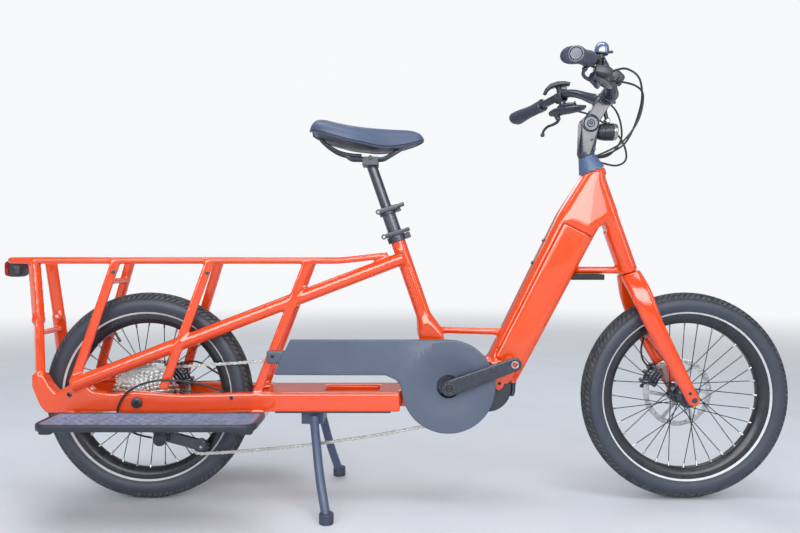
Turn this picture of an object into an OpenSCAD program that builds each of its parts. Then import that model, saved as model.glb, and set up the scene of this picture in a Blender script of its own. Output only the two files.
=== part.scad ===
// Electric longtail cargo bicycle, parked on its two-legged centre stand.
// X points forwards, Y to the rider's left and Z up. Lengths are in millimetres.

/* [Wheels] */
// Outside diameter of each tyre, over the tips of its tread
tyre_d = 526; // [516:1:536]
// Width of each tyre
tyre_w = 60; // [52:1:62]
// Distance between the two axles
wheelbase = 1366; // [1346:1:1396]
// Distance from the rear axle back to the face of the rear lamp
tail_l = 366; // [356:1:386]
// Height of each tyre above the flanges of its rim
tyre_h = 54; // [51:0.5:58]
// Depth of each rim, from its flanges in towards the hub
rim_depth = 24; // [18:0.5:28]
// Width of each rim
rim_w = 38; // [32:0.5:42]
// Number of spokes in each wheel, a multiple of four
spoke_count = 32; // [24:4:36]
// Thickness of each spoke
spoke_d = 2.2; // [1.8:0.1:2.4]
// Diameter of both brake discs
rotor_d = 180; // [160:1:184]

/* [Frame] */
// Slope of the steering axis from the ground, in degrees
head_angle = 70; // [69:0.25:71]
// Slope of the seat tube from the ground, in degrees
seat_angle = 70.9; // [70:0.1:72]
// Height of the cranks' axis above the axles
bb_rise = 35; // [27:1:43]
// Distance along the ground from the rear axle to the cranks' axis
rear_centre = 758.5; // [750:0.5:766]
// Distance from the steering axis forward to the front axle
fork_rake = 29; // [24:0.5:36]
// Length of the head tube
head_l = 274; // [266:1:282]
// Free height from the front tyre up to the foot of the head tube
crown_gap = 51; // [44:0.5:60]
// Length of the seat tube above the stays
seat_tube_up = 58.5; // [52:0.5:66]
// Outside diameter of the seat tube
seat_tube_d = 39; // [38.4:0.1:42]
// Depth of the down tube where it meets the head tube
down_tube_top = 106; // [96:1:110]
// Depth of the down tube at the motor
down_tube_foot = 92; // [84:1:98]
// Width of the down tube
down_tube_w = 84; // [78:1:90]
// Diameter of each stay from the tail up to the seat tube
stay_d = 35; // [30:0.5:38]

/* [Lower rails] */
// Height of each lower rail
rail_h = 47; // [42:0.5:50]
// Drop from the axles to the rails' underside
rail_drop = 27.5; // [24:0.5:31]
// Width of each lower rail
rail_w = 36; // [30:0.5:38]
// Free space between the tyre and each rail
rail_gap = 6; // [5:0.5:10]
// Thickness of each tail casting at the axle
dropout_t = 14; // [10:0.5:18]
// Distance between the two tail castings at the axle
rear_hub_w = 152; // [146:0.5:154]

/* [Rack] */
// Height of the middle of the rack's top rails above the rear tyre
rack_up = 82; // [74:0.5:94]
// Distance between the rack's top rails
rack_w = 92; // [84:1:100]
// Diameter of the rack's top rails
rack_d = 17; // [14:0.5:19]
// Depth of each rack strut along the bicycle
strut_depth = 22; // [18:0.5:24]
// Width of each rack strut across the bicycle
strut_w = 16; // [12:0.5:17]

/* [Footboards] */
// Length of each footboard
board_l = 504; // [480:1:510]
// Width of each footboard
board_w = 128; // [110:1:150]
// Depth of each footboard's edge
board_h = 16; // [12:0.5:18]

/* [Centre stand] */
// Distance between the middles of the two feet
stand_w = 344; // [320:1:360]
// Diameter of each stand leg
stand_d = 22; // [18:0.5:24]

/* [Drive] */
// Length of each crank, between its two axes
crank_l = 170; // [165:1:175]
// Angle of the right crank above the ground, in degrees
crank_angle = 20; // [15:1:25]
// Pitch of the chain
chain_pitch = 12.7; // [12.7:0.1:12.8]
// Teeth on the chainring
ring_teeth = 44; // [42:1:46]
// Teeth on the sprocket that carries the chain
cog_teeth = 36; // [34:2:36]
// Radius of the chain guard's round end
guard_r = 116; // [112:1:120]

/* [Seat] */
// Diameter of the lower seat post
lower_post_d = 34.9; // [33:0.1:35]
// Diameter of the upper seat post
upper_post_d = 27.2; // [25:0.1:28]
// Length of the saddle
saddle_l = 283; // [270:1:295]
// Width of the saddle
saddle_w = 190; // [160:1:210]

/* [Cockpit] */
// Diameter of the handlebar
bar_d = 22.2; // [22:0.1:24]
// Diameter of each grip
grip_d = 34; // [30:0.5:36]
// Diameter of the head lamp
lamp_d = 44; // [38:0.5:50]

/* [Hidden] */
$fn = 48;
overrun = 1;
// running clearance of a shaft, sliding clearance of a post and free space at a seat
run_gap = 0.06;
seat_gap = 0.3;
hose_sides = 8;
pipe_sides = 16;
knee_steps = 5;
flat_ref = [0, 0, 1];
side_ref = [0, 1, 0];
fore_ref = [1, 0, 0];

// main points in the side plane, as pairs of X and Z
axle_h = tyre_d / 2;
rim_r = axle_h - tyre_h;
rear_x = tail_l - (tail_l + wheelbase + tyre_d / 2) / 2;
rear_axle = [rear_x, axle_h];
front_axle = [rear_x + wheelbase, axle_h];
bb = [rear_x + rear_centre, axle_h + bb_rise];
steer_up = [-cos(head_angle), sin(head_angle)];
steer_fore = [sin(head_angle), cos(head_angle)];
steer_base = front_axle - fork_rake * steer_fore;
crown_s = (tyre_d + crown_gap - steer_base[1]) / sin(head_angle);
head_s = crown_s + head_l;
head_top = steer_base + head_s * steer_up;
seat_up = [-cos(seat_angle), sin(seat_angle)];
seat_fore = [sin(seat_angle), cos(seat_angle)];
rack_h = tyre_d + rack_up;
stay_up = 7;
stay_s = (rack_h + stay_up - bb[1]) / sin(seat_angle);
seat_tube_l = stay_s + seat_tube_up;

// wheels
rim_floor_w = 18;
rim_flank = 13;
front_flange_r = 27;
rear_flange_r = 30;
flange_t = 4;
front_flange_y = 28;
rear_flange_y = [-18, 36];
hub_barrel_r = 17;
axle_r = 7.5;
hub_cap_r = 13;
front_hub_w = 99;
spoke_cross = 2;
spoke_part = 2.2;
spoke_rim_y = 3;
rotor_t = 2;
rotor_ring = 15;
rotor_arms = 6;
rotor_arm_w = 11;
rotor_hub_r = 24;
front_rotor_y = 40;
rear_rotor_y = 46;
axle_head_r = 13;
axle_head_t = 5;

// sprockets
cassette_teeth = [42, 36, 32, 28, 24, 21, 18, 15, 13];
cog_carrier = 1;
cog_step = 3.8;
cog_t = 1.6;
cog_tip = 3;
chain_drop = 4.8;
cog_core_r = 18;

// chain
rear_chain_y = -35;
front_chain_y = -48;
chain_turn = 100;
chain_h = 8;
chain_gap = 0.9;
chain_end = 2.4;
chain_shoulder = 3.2;
chain_wide = 5;
chain_narrow = 3.6;
chain_sag = 14;
pulley_r = 22;
guide_off = [48.5, -94];
tension_shares = [0.5228, -0.4506];
tension_off = axle_h * tension_shares;
arc_steps = 14;
run_steps = 10;

// head and down tube
head_depth = 46;
head_w = 62;
head_top_d = 66;
head_collar = 20;
head_joint = 120;
head_swell = 3;
steerer_r = 19;
tube_foot_off = [118, -11];
tube_foot = bb + tube_foot_off;
tube_joint_drop = 33;
tube_joint = steer_base + (head_s - tube_joint_drop) * steer_up;
tube_run = norm(tube_joint - tube_foot);
tube_up = (tube_joint - tube_foot) / tube_run;
tube_low = 0;
tube_corner = 26;
tube_slice = 2;
cover_low = 72;
cover_top = 113;
cover_high = tube_run - cover_top;
cover_t = 12;
cover_gap = 1;
cover_ridge = 18;
gusset_d = 20;
gusset_up = 6;
gusset_h = tyre_d + crown_gap + gusset_up;
gusset_x = tube_foot[0] + (gusset_h - tube_foot[1]) * tube_up[0] / tube_up[1];
gusset_sink = 4;
bracket_size = [92, 50, 14];
bracket_fore = 36;
bottle_r = 2.5;
bottle_deep = 12;
bottle_drop = [151, 87];

// motor and its cradle
motor_r = 64;
motor_nose = [100, -10];
motor_nose_r = 60;
motor_right = -38;
motor_left = down_tube_w / 2 - seat_gap;
cradle_t = 12;
cradle_w = 76;
cradle_cut = [-60, -140];
ear_t = 6;
ear_line = [[104, 60], [182, 62], [162, 12], [128, -18], [110, -6]];

// seat tube and its parts
seat_flare = [62, 50];
seat_flare_l = 122;
seat_flare_r = 55;
seat_taper = 3;
collar_h = 15;
collar_t = 5;
collar_lug = [16, 24];
collar_lever = [6, 42];
lower_post_off = [-199, 72];
lower_post_s = [for (d = lower_post_off) seat_tube_l + d];
upper_post_off = [-59, 198];
upper_post_s = [for (d = upper_post_off) seat_tube_l + d];
post_head = [40, 56, 22];
brace_d = 19;
brace_s = 141;
brace_drop = -7;
brace_h = bb[1] + brace_s * seat_up[1] + brace_drop;
brace_x = tube_foot[0] + (brace_h - tube_foot[1]) * tube_up[0] / tube_up[1];

// footboards
board_fore = 50.5;
board_x = rear_x + axle_h + board_fore - board_l;
board_inner = 98;
board_plate = 6.5;
board_corner = 34;
board_wall = 4;
lug_in = [22, 24];
lug_x = [board_x + lug_in[0], board_x + board_l - lug_in[1]];
lug_w = 30;
lug_h = 22;
lug_reach = 205;
lug_root = 60;

// saddle, with every place given from the top of its post
wire_off = [[-81.29, 30, 34.59], [-51.29, 22, 6.59], [32.71, 22, 6.59], [80.71, 12, 34.59]];
wire_path = [for (p = wire_off) at(seat(upper_post_s[1], 0), 0) + p];
wire_d = 7;
wire_bend = 10;
saddle_back = -150.3;
saddle_long_shares = [0, 0.065, 0.2, 0.33, 0.52, 0.65, 0.77, 0.9, 0.98, 1];
saddle_wide_shares = [0.3, 0.42, 0.5, 0.48, 0.36, 0.24, 0.16, 0.125, 0.09, 0.05];
saddle_top = [92.59, 103.59, 98.59, 88.59, 80.59, 76.59, 71.59, 64.59, 58.59, 53.59];
saddle_under = [72.59, 47.59, 26.59, 16.59, 20.59, 26.59, 30.59, 35.59, 41.59, 45.59];
saddle_sides = 16;

// lower rails, tail castings and stays
rail_bottom_h = axle_h - rail_drop;
rail_inner = tyre_w / 2 + rail_gap;
rail_front_off = -119;
rail_front = bb[0] + rail_front_off;
rail_bend_off = [23.5, 79.5];
rail_bend = [rear_x + axle_h + rail_bend_off[0], rear_x + rail_bend_off[1]];
rail_end = 22;
tail_inner = rear_hub_w / 2;
tail_top_off = 19.5;
tail_shares = [-0.0765, -0.1503, -0.3224, -0.4372, -0.623, -0.6667, -0.7186, -0.7186, -0.6421, -0.5956,
    -0.5546, -0.459, -0.3825, -0.3005, -0.1694, -0.0246];
tail_rise = [-28, -22, -27, -27.5, -27.5, -10, 36, 67, 67, 38, 22, 42, 46, 28, 22, 28];
tail_line = [for (i = [0 : len(tail_rise) - 1]) [tail_l * tail_shares[i], tail_rise[i]]];
tail_plan_shares = [-0.1913, -0.3552, -0.7514];
tail_plan = [for (k = tail_plan_shares) tail_l * k];
tail_rear = [44, 78];
boss_r = 16;
bridge_off = [43.5, 188.5];
bridge_x = [for (d = bridge_off) rear_x + axle_h + d];
bridge_t = 6;
yoke_off = [-172, -49];
yoke_x = [for (d = yoke_off) bb[0] + d];
yoke_h = 42;
yoke_tongue = 72;
stay_foot_share = -0.4426;
stay_foot_up = 41;
stay_foot = rear_axle + [tail_l * stay_foot_share, stay_foot_up];
stay_foot_y = 80;
stay_head = bb + stay_s * seat_up;
stay_head_y = 22;
strip_off = [42, -142];
strip_x = [rear_x + axle_h + board_fore - lug_in[1] + strip_off[0], bb[0] + strip_off[1]];
strip_y = [52, 70];
strip_t = 3;

// rack
rack_back = 31.5;
rack_fore = -158;
rack_x = [rear_x - tail_l + rack_back, stay_head[0] + rack_fore];
rack_tip_off = [-41, 6];
rack_tip = stay_head + rack_tip_off;
rack_tip_y = 24;
rack_corner = 24;
strut_top_share = -0.179;
strut_top_off = [167.5, 411.5];
strut_top = [rear_x + tail_l * strut_top_share, rear_x + strut_top_off[0], rear_x + strut_top_off[1]];
strut_foot_share = -0.4331;
strut_foot_up = 55;
strut_foot_off = [[60.5, 31], [285.5, 19]];
strut_foot = concat([rear_axle + [tail_l * strut_foot_share, strut_foot_up]],
    [for (d = strut_foot_off) rear_axle + d]);
strut_foot_y = [70, 82, 60];
post_top_share = -0.7445;
post_top = rear_x + tail_l * post_top_share;
post_top_y = 40;
post_knee_share = -0.7036;
post_knee_up = 198;
post_knee = rear_axle + [tail_l * post_knee_share, post_knee_up];
post_foot_share = -0.6817;
post_foot_up = 69;
post_foot = rear_axle + [tail_l * post_foot_share, post_foot_up];
post_foot_y = 61;
post_depth = 28;
post_w = 20;
rung_d = 14;
rung_low_share = -0.6954;
rung_low_gap = 40.3;
rung_low_x = tail_l * rung_low_share;
rung_low_r = axle_h + rung_low_gap;
rung_low_up = max((post_foot_up + post_knee_up) / 2, sqrt(max(0,
    rung_low_r * rung_low_r - rung_low_x * rung_low_x)));
rung_low = rear_axle + [rung_low_x, rung_low_up];
rung_high_share = -0.2172;
rung_high_gap = 30;
rung_high = rear_axle + [tail_l * rung_high_share, axle_h + rung_high_gap];
lamp_size = [49, 62, 28];
lamp_drop = 28;
lamp_z = rack_h - lamp_drop;
lamp_arm = 10;

// centre stand
stand_back = -332;
stand_drop = 22.5;
stand_pivot = [bb[0] + stand_back, rail_bottom_h - stand_drop];
stand_shaft_r = 8;
stand_root_y = 64;
stand_root_up = 8;
stand_bend = 40;
stand_knee_fore = 22;
stand_knee_share = 0.4319;
stand_knee = [stand_pivot[0] + stand_knee_fore, stand_pivot[1] * stand_knee_share];
stand_knee_y = 130;
stand_foot_fore = 42;
stand_foot_x = stand_pivot[0] + stand_foot_fore;
foot_d = 34;
foot_h = 24;
hanger_ends = [-33, 21];
hanger_x = [for (d = hanger_ends) stand_pivot[0] + d];
hanger_w = 92;
hanger_drop = 35.5;
hanger_low = rail_bottom_h - hanger_drop;

// chain guard
guard_y = [-76, -60];
guard_wall = 3;
guard_hole_r = 27;
guard_rear = [[-389, 116], [-429, 33], [-428, 29]];
guard_neck = [[-154, 28], [-128, 16], [-106, -16]];
guard_tab = [[-447, 57], [-447, 89], [-400, 89], [-415, 57]];
guard_tab_y = -65.2;
guard_boss = [-36, 100];
guard_boss_r = 5;

// cranks
spindle_r = 12;
arm_y = [80, 95];
arm_root_r = 20;
arm_tip_r = 15;
arm_waist = [13, 11];
pedal_hole_r = 7;
ring_t = 3;
spider_r = 40;
ring_cuts = 5;
ring_cut_r = 16;
ring_cut_at = 60;

// rear changer
changer_t = 2.5;
changer_half = 5.5;
changer_plate_r = 13;
changer_knuckle_r = 17;
changer_y = [-76, -40.5];
hanger_off = [9, -34];
hanger_boss_r = 9;

// brakes
rear_caliper_off = [68, 44];
rear_caliper = [52, 20, 44];
front_caliper_off = [-71, 35];
front_caliper = [44, 26, 52];
caliper_slot = 6;
caliper_foot = [16, 9];
caliper_sink = 5;
caliper_root = [-20, 35];

// fork
crown_knee_shares = [-0.4068, 0.7757];
crown_knee = axle_h * crown_knee_shares;
crown_knee_y = 56;
crown_depth = 48;
leg_w = 22;
leg_tip_w = 17;
leg_tip_depth = 32;
leg_tip_y = 58.5;
leg_slice = 4;
crown_drop = 46;

// cockpit, with every place given from the top of the head tube
head_top_at = [head_top[0], 0, head_top[1]];
cone_h = 40;
cone_top_d = 42;
stem_pivot_off = [-8.63, 117.5];
stem_pivot = head_top + stem_pivot_off;
stem_w = 40;
stem_knuckle_r = 22;
stem_foot_h = 12;
bar_at_off = [35.37, 187.5];
bar_at = head_top + bar_at_off;
bar_clamp_r = 21;
bar_clamp_w = 46;
stem_arm_w = 34;
bar_mid_d = 31.8;
bar_mid_w = 70;
bar_path_off = [[35.37, 42, 187.5], [-17.63, 150, 231.5], [-68.63, 225, 220.5], [-125.63, 340, 199.5]];
bar_path = [for (p = bar_path_off) head_top_at + p];
bar_bend = 26;
grip_l = 118;
lever_clamp_off = [-35.33, 176, 227.7];
lever_clamp = head_top_at + lever_clamp_off;
lever_clamp_d = 32;
lever_clamp_l = 14;
lever_body_off = [-33.63, 160, 187.5];
lever_body = head_top_at + lever_body_off;
lever_body_d = 20;
lever_blade_off = [[-34.63, 162, 193.5], [-59.63, 200, 155.5], [-79.63, 236, 123.5]];
lever_blade = [for (p = lever_blade_off) head_top_at + p];
lever_bend = 12;
lever_blade_d = 10;
shifter_box = [42, 30, 24];
shifter_at_off = [-33.63, -205, 198.5];
shifter_at = head_top_at + shifter_at_off;
remote_box = [40, 34, 16];
remote_at_off = [-40.63, 205, 247.5];
remote_at = head_top_at + remote_at_off;
display_box = [46, 58, 18];
display_at_off = [49.37, 0, 225.5];
display_at = head_top_at + display_at_off;
lamp_at_off = [39.37, 99.5];
lamp_at = head_top + lamp_at_off;
lamp_l = 50;
lamp_foot_d = 14;
hose_d = 5;
hose_steps = 4;
hose_ref = [0, 1, 0];
cockpit_hoses = [
    [[-20.63, -157, 187.5], [24.37, -130, 195.5], [89.37, -66, 199.5], [117.37, -34, 181.5],
        [104.37, -36, 121.5], [62.37, -34, 65.5], [4.37, -10, 35.5]],
    [[-20.63, 157, 187.5], [34.37, 126, 165.5], [89.37, 70, 101.5], [96.37, 26, 39.5],
        [64.37, 8, 15.5], [9.37, 6, 27.5]],
    [[-9.63, -200, 201.5], [34.37, -164, 215.5], [100.37, -60, 215.5], [126.37, 10, 165.5],
        [94.37, 34, 75.5], [9.37, 14, 33.5]],
    [[-17.63, 200, 245.5], [24.37, 160, 233.5], [76.37, 70, 175.5], [88.37, 40, 95.5],
        [52.37, 22, 45.5], [4.37, 2, 33.5]]];
fork_hose = [[-79.5, 42.6, 162], [-93.5, 42, 122], [-91.5, 41.5, 87], [-72.5, 41, 62]];
bar_hoses = concat([for (h = cockpit_hoses) [for (p = h) head_top_at + p]],
    [[for (p = fork_hose) at(front_axle, 0) + p]]);
tail_hoses = [
    [[204.5, -66, 22.5], [148.5, -80, 44], [91.5, -94, 55], [32.5, -96.5, 52], [-20.5, -96, 27],
        [-45.5, -94.5, -15], [-36.5, -89, -49], [-8.5, -82, -77], [28.5, -70, -91]],
    [[191.5, 62, 22.5], [151.5, 58, 49], [111.5, 52, 75], [79.5, 47, 78], [65.5, 46, 67.5]]];
rail_hoses = [for (h = tail_hoses) [for (p = h) at(rear_axle, 0) + p]];

// points and lengths along the tubes
function steer(s, f) = steer_base + s * steer_up + f * steer_fore;
function seat(s, f) = bb + s * seat_up + f * seat_fore;
function tube(s) = tube_foot + s * tube_up;
function at(p, y) = [p[0], y, p[1]];
function flip(p) = [p[0], -p[1], p[2]];
function unit(v) = v / norm(v);
function pitch_r(n) = chain_pitch / (2 * sin(180 / n));

// one smooth line through all the given points
function bend(a, b, c, d, t) = (2 * b + (c - a) * t + (2 * a - 5 * b + 4 * c - d) * t * t
    + (3 * b - a - 3 * c + d) * t * t * t) / 2;
function smooth(p, n) = concat([for (i = [0 : len(p) - 2]) for (j = [0 : n - 1])
    bend(p[max(i - 1, 0)], p[i], p[i + 1], p[min(i + 2, len(p) - 1)], j / n)], [p[len(p) - 1]]);

function knee(a, b, c, t) = a * (1 - t) * (1 - t) + 2 * b * t * (1 - t) + c * t * t;
function soften(p, reach) = concat([p[0]], [for (i = [1 : len(p) - 2]) for (j = [0 : knee_steps])
    knee(p[i] + reach * unit(p[i - 1] - p[i]), p[i], p[i] + reach * unit(p[i + 1] - p[i]),
        j / knee_steps)],
    [p[len(p) - 1]]);
function both_ways(p) = concat([for (i = [len(p) - 1 : -1 : 0]) flip(p[i])], p);

// the chain's line: four round ends and the straight runs between them, as X and Z
round_ends = [[bb, pitch_r(ring_teeth), 1], [rear_axle, pitch_r(cog_teeth), 1],
    [rear_axle + guide_off, pulley_r, -1], [rear_axle + tension_off, pulley_r, 1]];
function run_ends(a, b) =
    let (v = b[0] - a[0], k = b[2] * b[1] - a[2] * a[1], l = sqrt(v * v - k * k))
    let (w = atan2(v[1], v[0]) - atan2(k, l), n = [-sin(w), cos(w)])
    [a[0] - a[2] * a[1] * n, b[0] - b[2] * b[1] * n];
runs = [for (i = [0 : 3]) run_ends(round_ends[i], round_ends[(i + 1) % 4])];
function turn_of(c, p, q) =
    let (a = atan2(p[1] - c[0][1], p[0] - c[0][0]), b = atan2(q[1] - c[0][1], q[0] - c[0][0]))
    let (d = c[2] * (b - a))
    [a, c[2] * (d - 360 * floor(d / 360))];
function arc_line(c, p, q) = let (t = turn_of(c, p, q))
    [for (j = [0 : arc_steps]) c[0] + c[1] * [cos(t[0] + t[1] * j / arc_steps),
        sin(t[0] + t[1] * j / arc_steps)]];
function sag_line(p, q) = [for (j = [1 : run_steps - 1]) let (t = j / run_steps)
    p + (q - p) * t - [0, 4 * chain_sag * t * (1 - t)]];
chain_line = concat([for (i = [0 : 3]) each arc_line(round_ends[i], runs[(i + 3) % 4][1], runs[i][0])],
    sag_line(runs[3][0], runs[3][1]), [runs[3][1]]);
function sums(p, i = 0, s = 0) = i > len(p) - 2 ? [s] :
    concat([s], sums(p, i + 1, s + norm(p[i + 1] - p[i])));
chain_sums = sums(chain_line);
chain_total = chain_sums[len(chain_sums) - 1];
link_count = 2 * round(chain_total / chain_pitch / 2);
function chain_at(s) = let (i = max([for (j = [0 : len(chain_sums) - 2]) if (chain_sums[j] <= s) j]))
    let (d = chain_sums[i + 1] - chain_sums[i])
    chain_line[i] + (chain_line[i + 1] - chain_line[i]) * (d > 0 ? (s - chain_sums[i]) / d : 0);
function chain_y(x) = rear_chain_y + (front_chain_y - rear_chain_y)
    * min(1, max(0, (x - rear_axle[0] - chain_turn) / (rear_centre - 2 * chain_turn)));

// shared shapes
module both() {
    children();
    mirror([0, 1, 0]) children();
}

module slab(y) {
    rotate([90, 0, 0]) translate([0, 0, -y[1]]) linear_extrude(y[1] - y[0]) children();
}

module along(a, b) {
    v = b - a;
    translate(a) rotate([0, acos(v[2] / norm(v)), atan2(v[1], v[0])]) children();
}

module rod(a, b, d) {
    along(a, b) cylinder(h = norm(b - a), d = d);
}

// a bent tube: straight between its points, with a bend of the given reach at each
module pipe(p, d, reach, ref) {
    cord(soften(p, reach), d, ref, pipe_sides);
}

module rounded(size, r) {
    square([size[0] - 2 * r, size[1]], center = true);
    square([size[0], size[1] - 2 * r], center = true);
    for (i = [-1, 1], j = [-1, 1]) translate([i * (size[0] / 2 - r), j * (size[1] / 2 - r)]) circle(r);
}

module beam(a, b, size) {
    along(a, b) linear_extrude(norm(b - a)) square(size, center = true);
}

module box(x, y, z) {
    translate([x[0], y[0], z[0]]) cube([x[1] - x[0], y[1] - y[0], z[1] - z[0]]);
}

module block(p, size) {
    translate(p - size / 2) cube(size);
}

module cross_rod(p, y, r) {
    translate(at(p, y[1])) rotate([90, 0, 0]) cylinder(h = y[1] - y[0], r = r);
}

// a round cord along a line of points
module cord(p, d, ref, m) {
    n = len(p);
    ways = [for (i = [0 : n - 1]) unit(p[min(i + 1, n - 1)] - p[max(i - 1, 0)])];
    sides = [for (w = ways) unit(cross(w, ref))];
    rings = [for (i = [0 : n - 1]) for (k = [0 : m - 1]) p[i]
        + d / 2 * (cos(360 * k / m) * sides[i] + sin(360 * k / m) * cross(sides[i], ways[i]))];
    polyhedron(rings, concat([[for (k = [m - 1 : -1 : 0]) k], [for (k = [0 : m - 1]) (n - 1) * m + k]],
        [for (i = [0 : n - 2]) for (k = [0 : m - 1])
            [i * m + k, i * m + (k + 1) % m, (i + 1) * m + (k + 1) % m, (i + 1) * m + k]]));
}

module tyre(p) {
    translate(at(p, 0)) rotate([90, 0, 0]) rotate_extrude() difference() {
        translate([axle_h - tyre_w / 2, 0]) circle(d = tyre_w);
        translate([0, -rim_w / 2 - seat_gap]) square([rim_r + seat_gap, rim_w + 2 * seat_gap]);
    }
}

module rim(p) {
    translate(at(p, 0)) rotate([90, 0, 0]) rotate_extrude() polygon([
        [rim_r, -rim_w / 2], [rim_r, rim_w / 2], [rim_r - rim_flank, rim_w / 2],
        [rim_r - rim_depth, rim_floor_w / 2], [rim_r - rim_depth, -rim_floor_w / 2],
        [rim_r - rim_flank, -rim_w / 2]]);
}

module spokes(p, r, y) {
    for (i = [0 : spoke_count - 1]) {
        s = i % 2;
        lead = floor(i / 2) % 2 == 0 ? 1 : -1;
        a = 360 * i / spoke_count;
        b = a + lead * spoke_cross * 720 / spoke_count;
        inner = r + seat_gap + spoke_d / 2;
        outer = rim_r - rim_depth - seat_gap - spoke_d / 4;
        rod(at(p + inner * [cos(b), sin(b)], y[s] + lead * spoke_part),
            at(p + outer * [cos(a), sin(a)], (s == 0 ? -1 : 1) * spoke_rim_y), spoke_d);
    }
}

module hub(p, w, r, y) {
    difference() {
        union() {
            cross_rod(p, [-w / 2 + seat_gap, w / 2 - seat_gap], hub_cap_r);
            cross_rod(p, [y[0], y[1]], hub_barrel_r);
            for (i = [0, 1]) cross_rod(p, [y[i] - flange_t / 2, y[i] + flange_t / 2], r);
        }
        cross_rod(p, [-w, w], axle_r + run_gap);
    }
}

module rotor(p, y) {
    difference() {
        slab([y - rotor_t / 2, y + rotor_t / 2]) translate(p) {
            difference() {
                circle(d = rotor_d);
                circle(d = rotor_d - 2 * rotor_ring);
            }
            for (i = [0 : rotor_arms - 1]) rotate(360 * i / rotor_arms)
                translate([0, -rotor_arm_w / 2]) square([rotor_d / 2 - rotor_ring / 2, rotor_arm_w]);
            circle(rotor_hub_r);
        }
        cross_rod(p, [y - rotor_t, y + rotor_t], hub_cap_r + seat_gap);
    }
}

module steerer_bore() {
    rod(at(steer(crown_s - head_l, 0), 0), at(steer(head_s + head_l, 0), 0), 2 * (steerer_r + run_gap));
}

module head_core() {
    along(at(steer(crown_s, 0), 0), at(steer(head_s, 0), 0)) linear_extrude(head_l) {
        square([head_depth, head_w - head_depth], center = true);
        for (j = [-1, 1]) translate([0, j * (head_w - head_depth) / 2]) circle(d = head_depth);
    }
}

module tube_part(s, depth) {
    along(at(tube(s), 0), at(tube_joint, 0)) linear_extrude(tube_slice)
        rounded([depth, down_tube_w], tube_corner, $fn = 24);
}

module tube_body() {
    hull() {
        tube_part(tube_low, down_tube_foot);
        tube_part(cover_high - tube_slice, down_tube_top);
    }
}

module cover_space(g) {
    along(at(tube(cover_low), 0), at(tube_joint, 0)) translate([cover_ridge - down_tube_top / 2 + g, 0,
        g])
        translate([0, -down_tube_w, 0])
        cube([2 * down_tube_top, down_tube_w / 2 + cover_t - g,
            cover_high - cover_low - cover_ridge - 2 * g]);
}

module motor_line(g) {
    hull() {
        translate(bb) circle(motor_r + g);
        translate(bb + motor_nose) circle(motor_nose_r + g);
    }
}

module seat_body(g) {
    rod(at(bb, 0), at(seat(seat_tube_l, 0), 0), seat_tube_d + 2 * g);
}

module stays() {
    both() rod(at(stay_foot, stay_foot_y), at(stay_head, stay_head_y), stay_d);
}

module tail_body() {
    intersection() {
        slab([-tail_rear[1] - rear_hub_w, tail_rear[1] + rear_hub_w])
            polygon(concat([rear_axle + [rail_bend[1] - rear_x - rail_end + 2 * rail_end, tail_top_off],
                [rail_bend[1], rail_bottom_h]], [for (p = tail_line) rear_axle + p]));
        union() both() translate([0, 0, rail_bottom_h - rail_h]) linear_extrude(4 * rail_h) polygon([
            [rail_bend[0], tail_inner], [rear_x + tail_plan[0], tail_inner], [rear_x + tail_plan[1],
                tail_rear[0]],
            [rear_x + tail_plan[2], tail_rear[0]], [rear_x + tail_plan[2], tail_rear[1]],
            [rear_x + tail_plan[1], tail_rear[1] + dropout_t / 2], [rear_x + tail_plan[0],
                tail_inner + dropout_t],
            [rail_bend[0], tail_inner + dropout_t]]);
    }
}

// frame
module head_tube() {
    color("orangered") difference() {
        union() {
            head_core();
            hull() {
                tube_part(cover_high, down_tube_top);
                along(at(steer(head_s - head_joint, 0), 0), at(steer(head_s, 0),
                    0)) linear_extrude(head_joint) {
                    for (j = [-1, 1]) translate([0, j * (head_w - head_depth) / 2])
                        circle(d = head_depth + head_swell, $fn = 32);
                }
            }
            rod(at(steer(head_s - head_collar, 0), 0), at(steer(head_s, 0), 0), head_top_d);
        }
        steerer_bore();
    }
}

module down_tube() {
    color("orangered") difference() {
        tube_body();
        cover_space(0);
        slab([-down_tube_w, down_tube_w]) motor_line(seat_gap);
        for (d = bottle_drop) along(at(tube(cover_high - d), 0), at(tube_joint, 0)) rotate([0, -90, 0])
            translate([0, 0, down_tube_foot / 2 - bottle_deep]) cylinder(h = down_tube_foot,
                r = bottle_r);
    }
}

module battery_cover() {
    color("red") intersection() {
        tube_body();
        cover_space(cover_gap);
    }
}

module gusset() {
    difference() {
        rod([gusset_x, 0, gusset_h], [steer(crown_s, -head_depth / 2)[0] + gusset_sink, 0, gusset_h],
            gusset_d);
        head_core();
        tube_body();
    }
}

module mudguard_bracket() {
    color("black") difference() {
        translate([gusset_x + bracket_fore, -bracket_size[1] / 2,
            gusset_h - gusset_d / 2 - bracket_size[2]])
            cube(bracket_size);
        tube_body();
    }
}

module seat_tube() {
    color("orangered") difference() {
        union() {
            seat_body(0);
            seat_foot();
        }
        rod(at(seat(lower_post_s[0] - collar_h * 4, 0), 0), at(seat(2 * seat_tube_l, 0), 0),
            lower_post_d + 2 * run_gap);
        slab([-cradle_w, cradle_w]) motor_line(cradle_t);
    }
}

module brace() {
    difference() {
        rod(at(seat(brace_s, 0), 0), [brace_x, 0, brace_h], brace_d);
        seat_tube_solid();
        tube_body();
    }
}

module frame_braces() {
    color("orangered") {
        gusset();
        brace();
    }
}

module seat_foot() {
    along(at(seat(motor_r, 0), 0), at(seat(seat_tube_l, 0), 0)) intersection() {
        linear_extrude(seat_flare_l + overrun) square(seat_flare, center = true);
        cylinder(h = seat_flare_l, r1 = seat_flare_r, r2 = (seat_tube_d - seat_taper) / 2);
    }
}

module seat_tube_solid() {
    seat_body(0);
    seat_foot();
}

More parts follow.
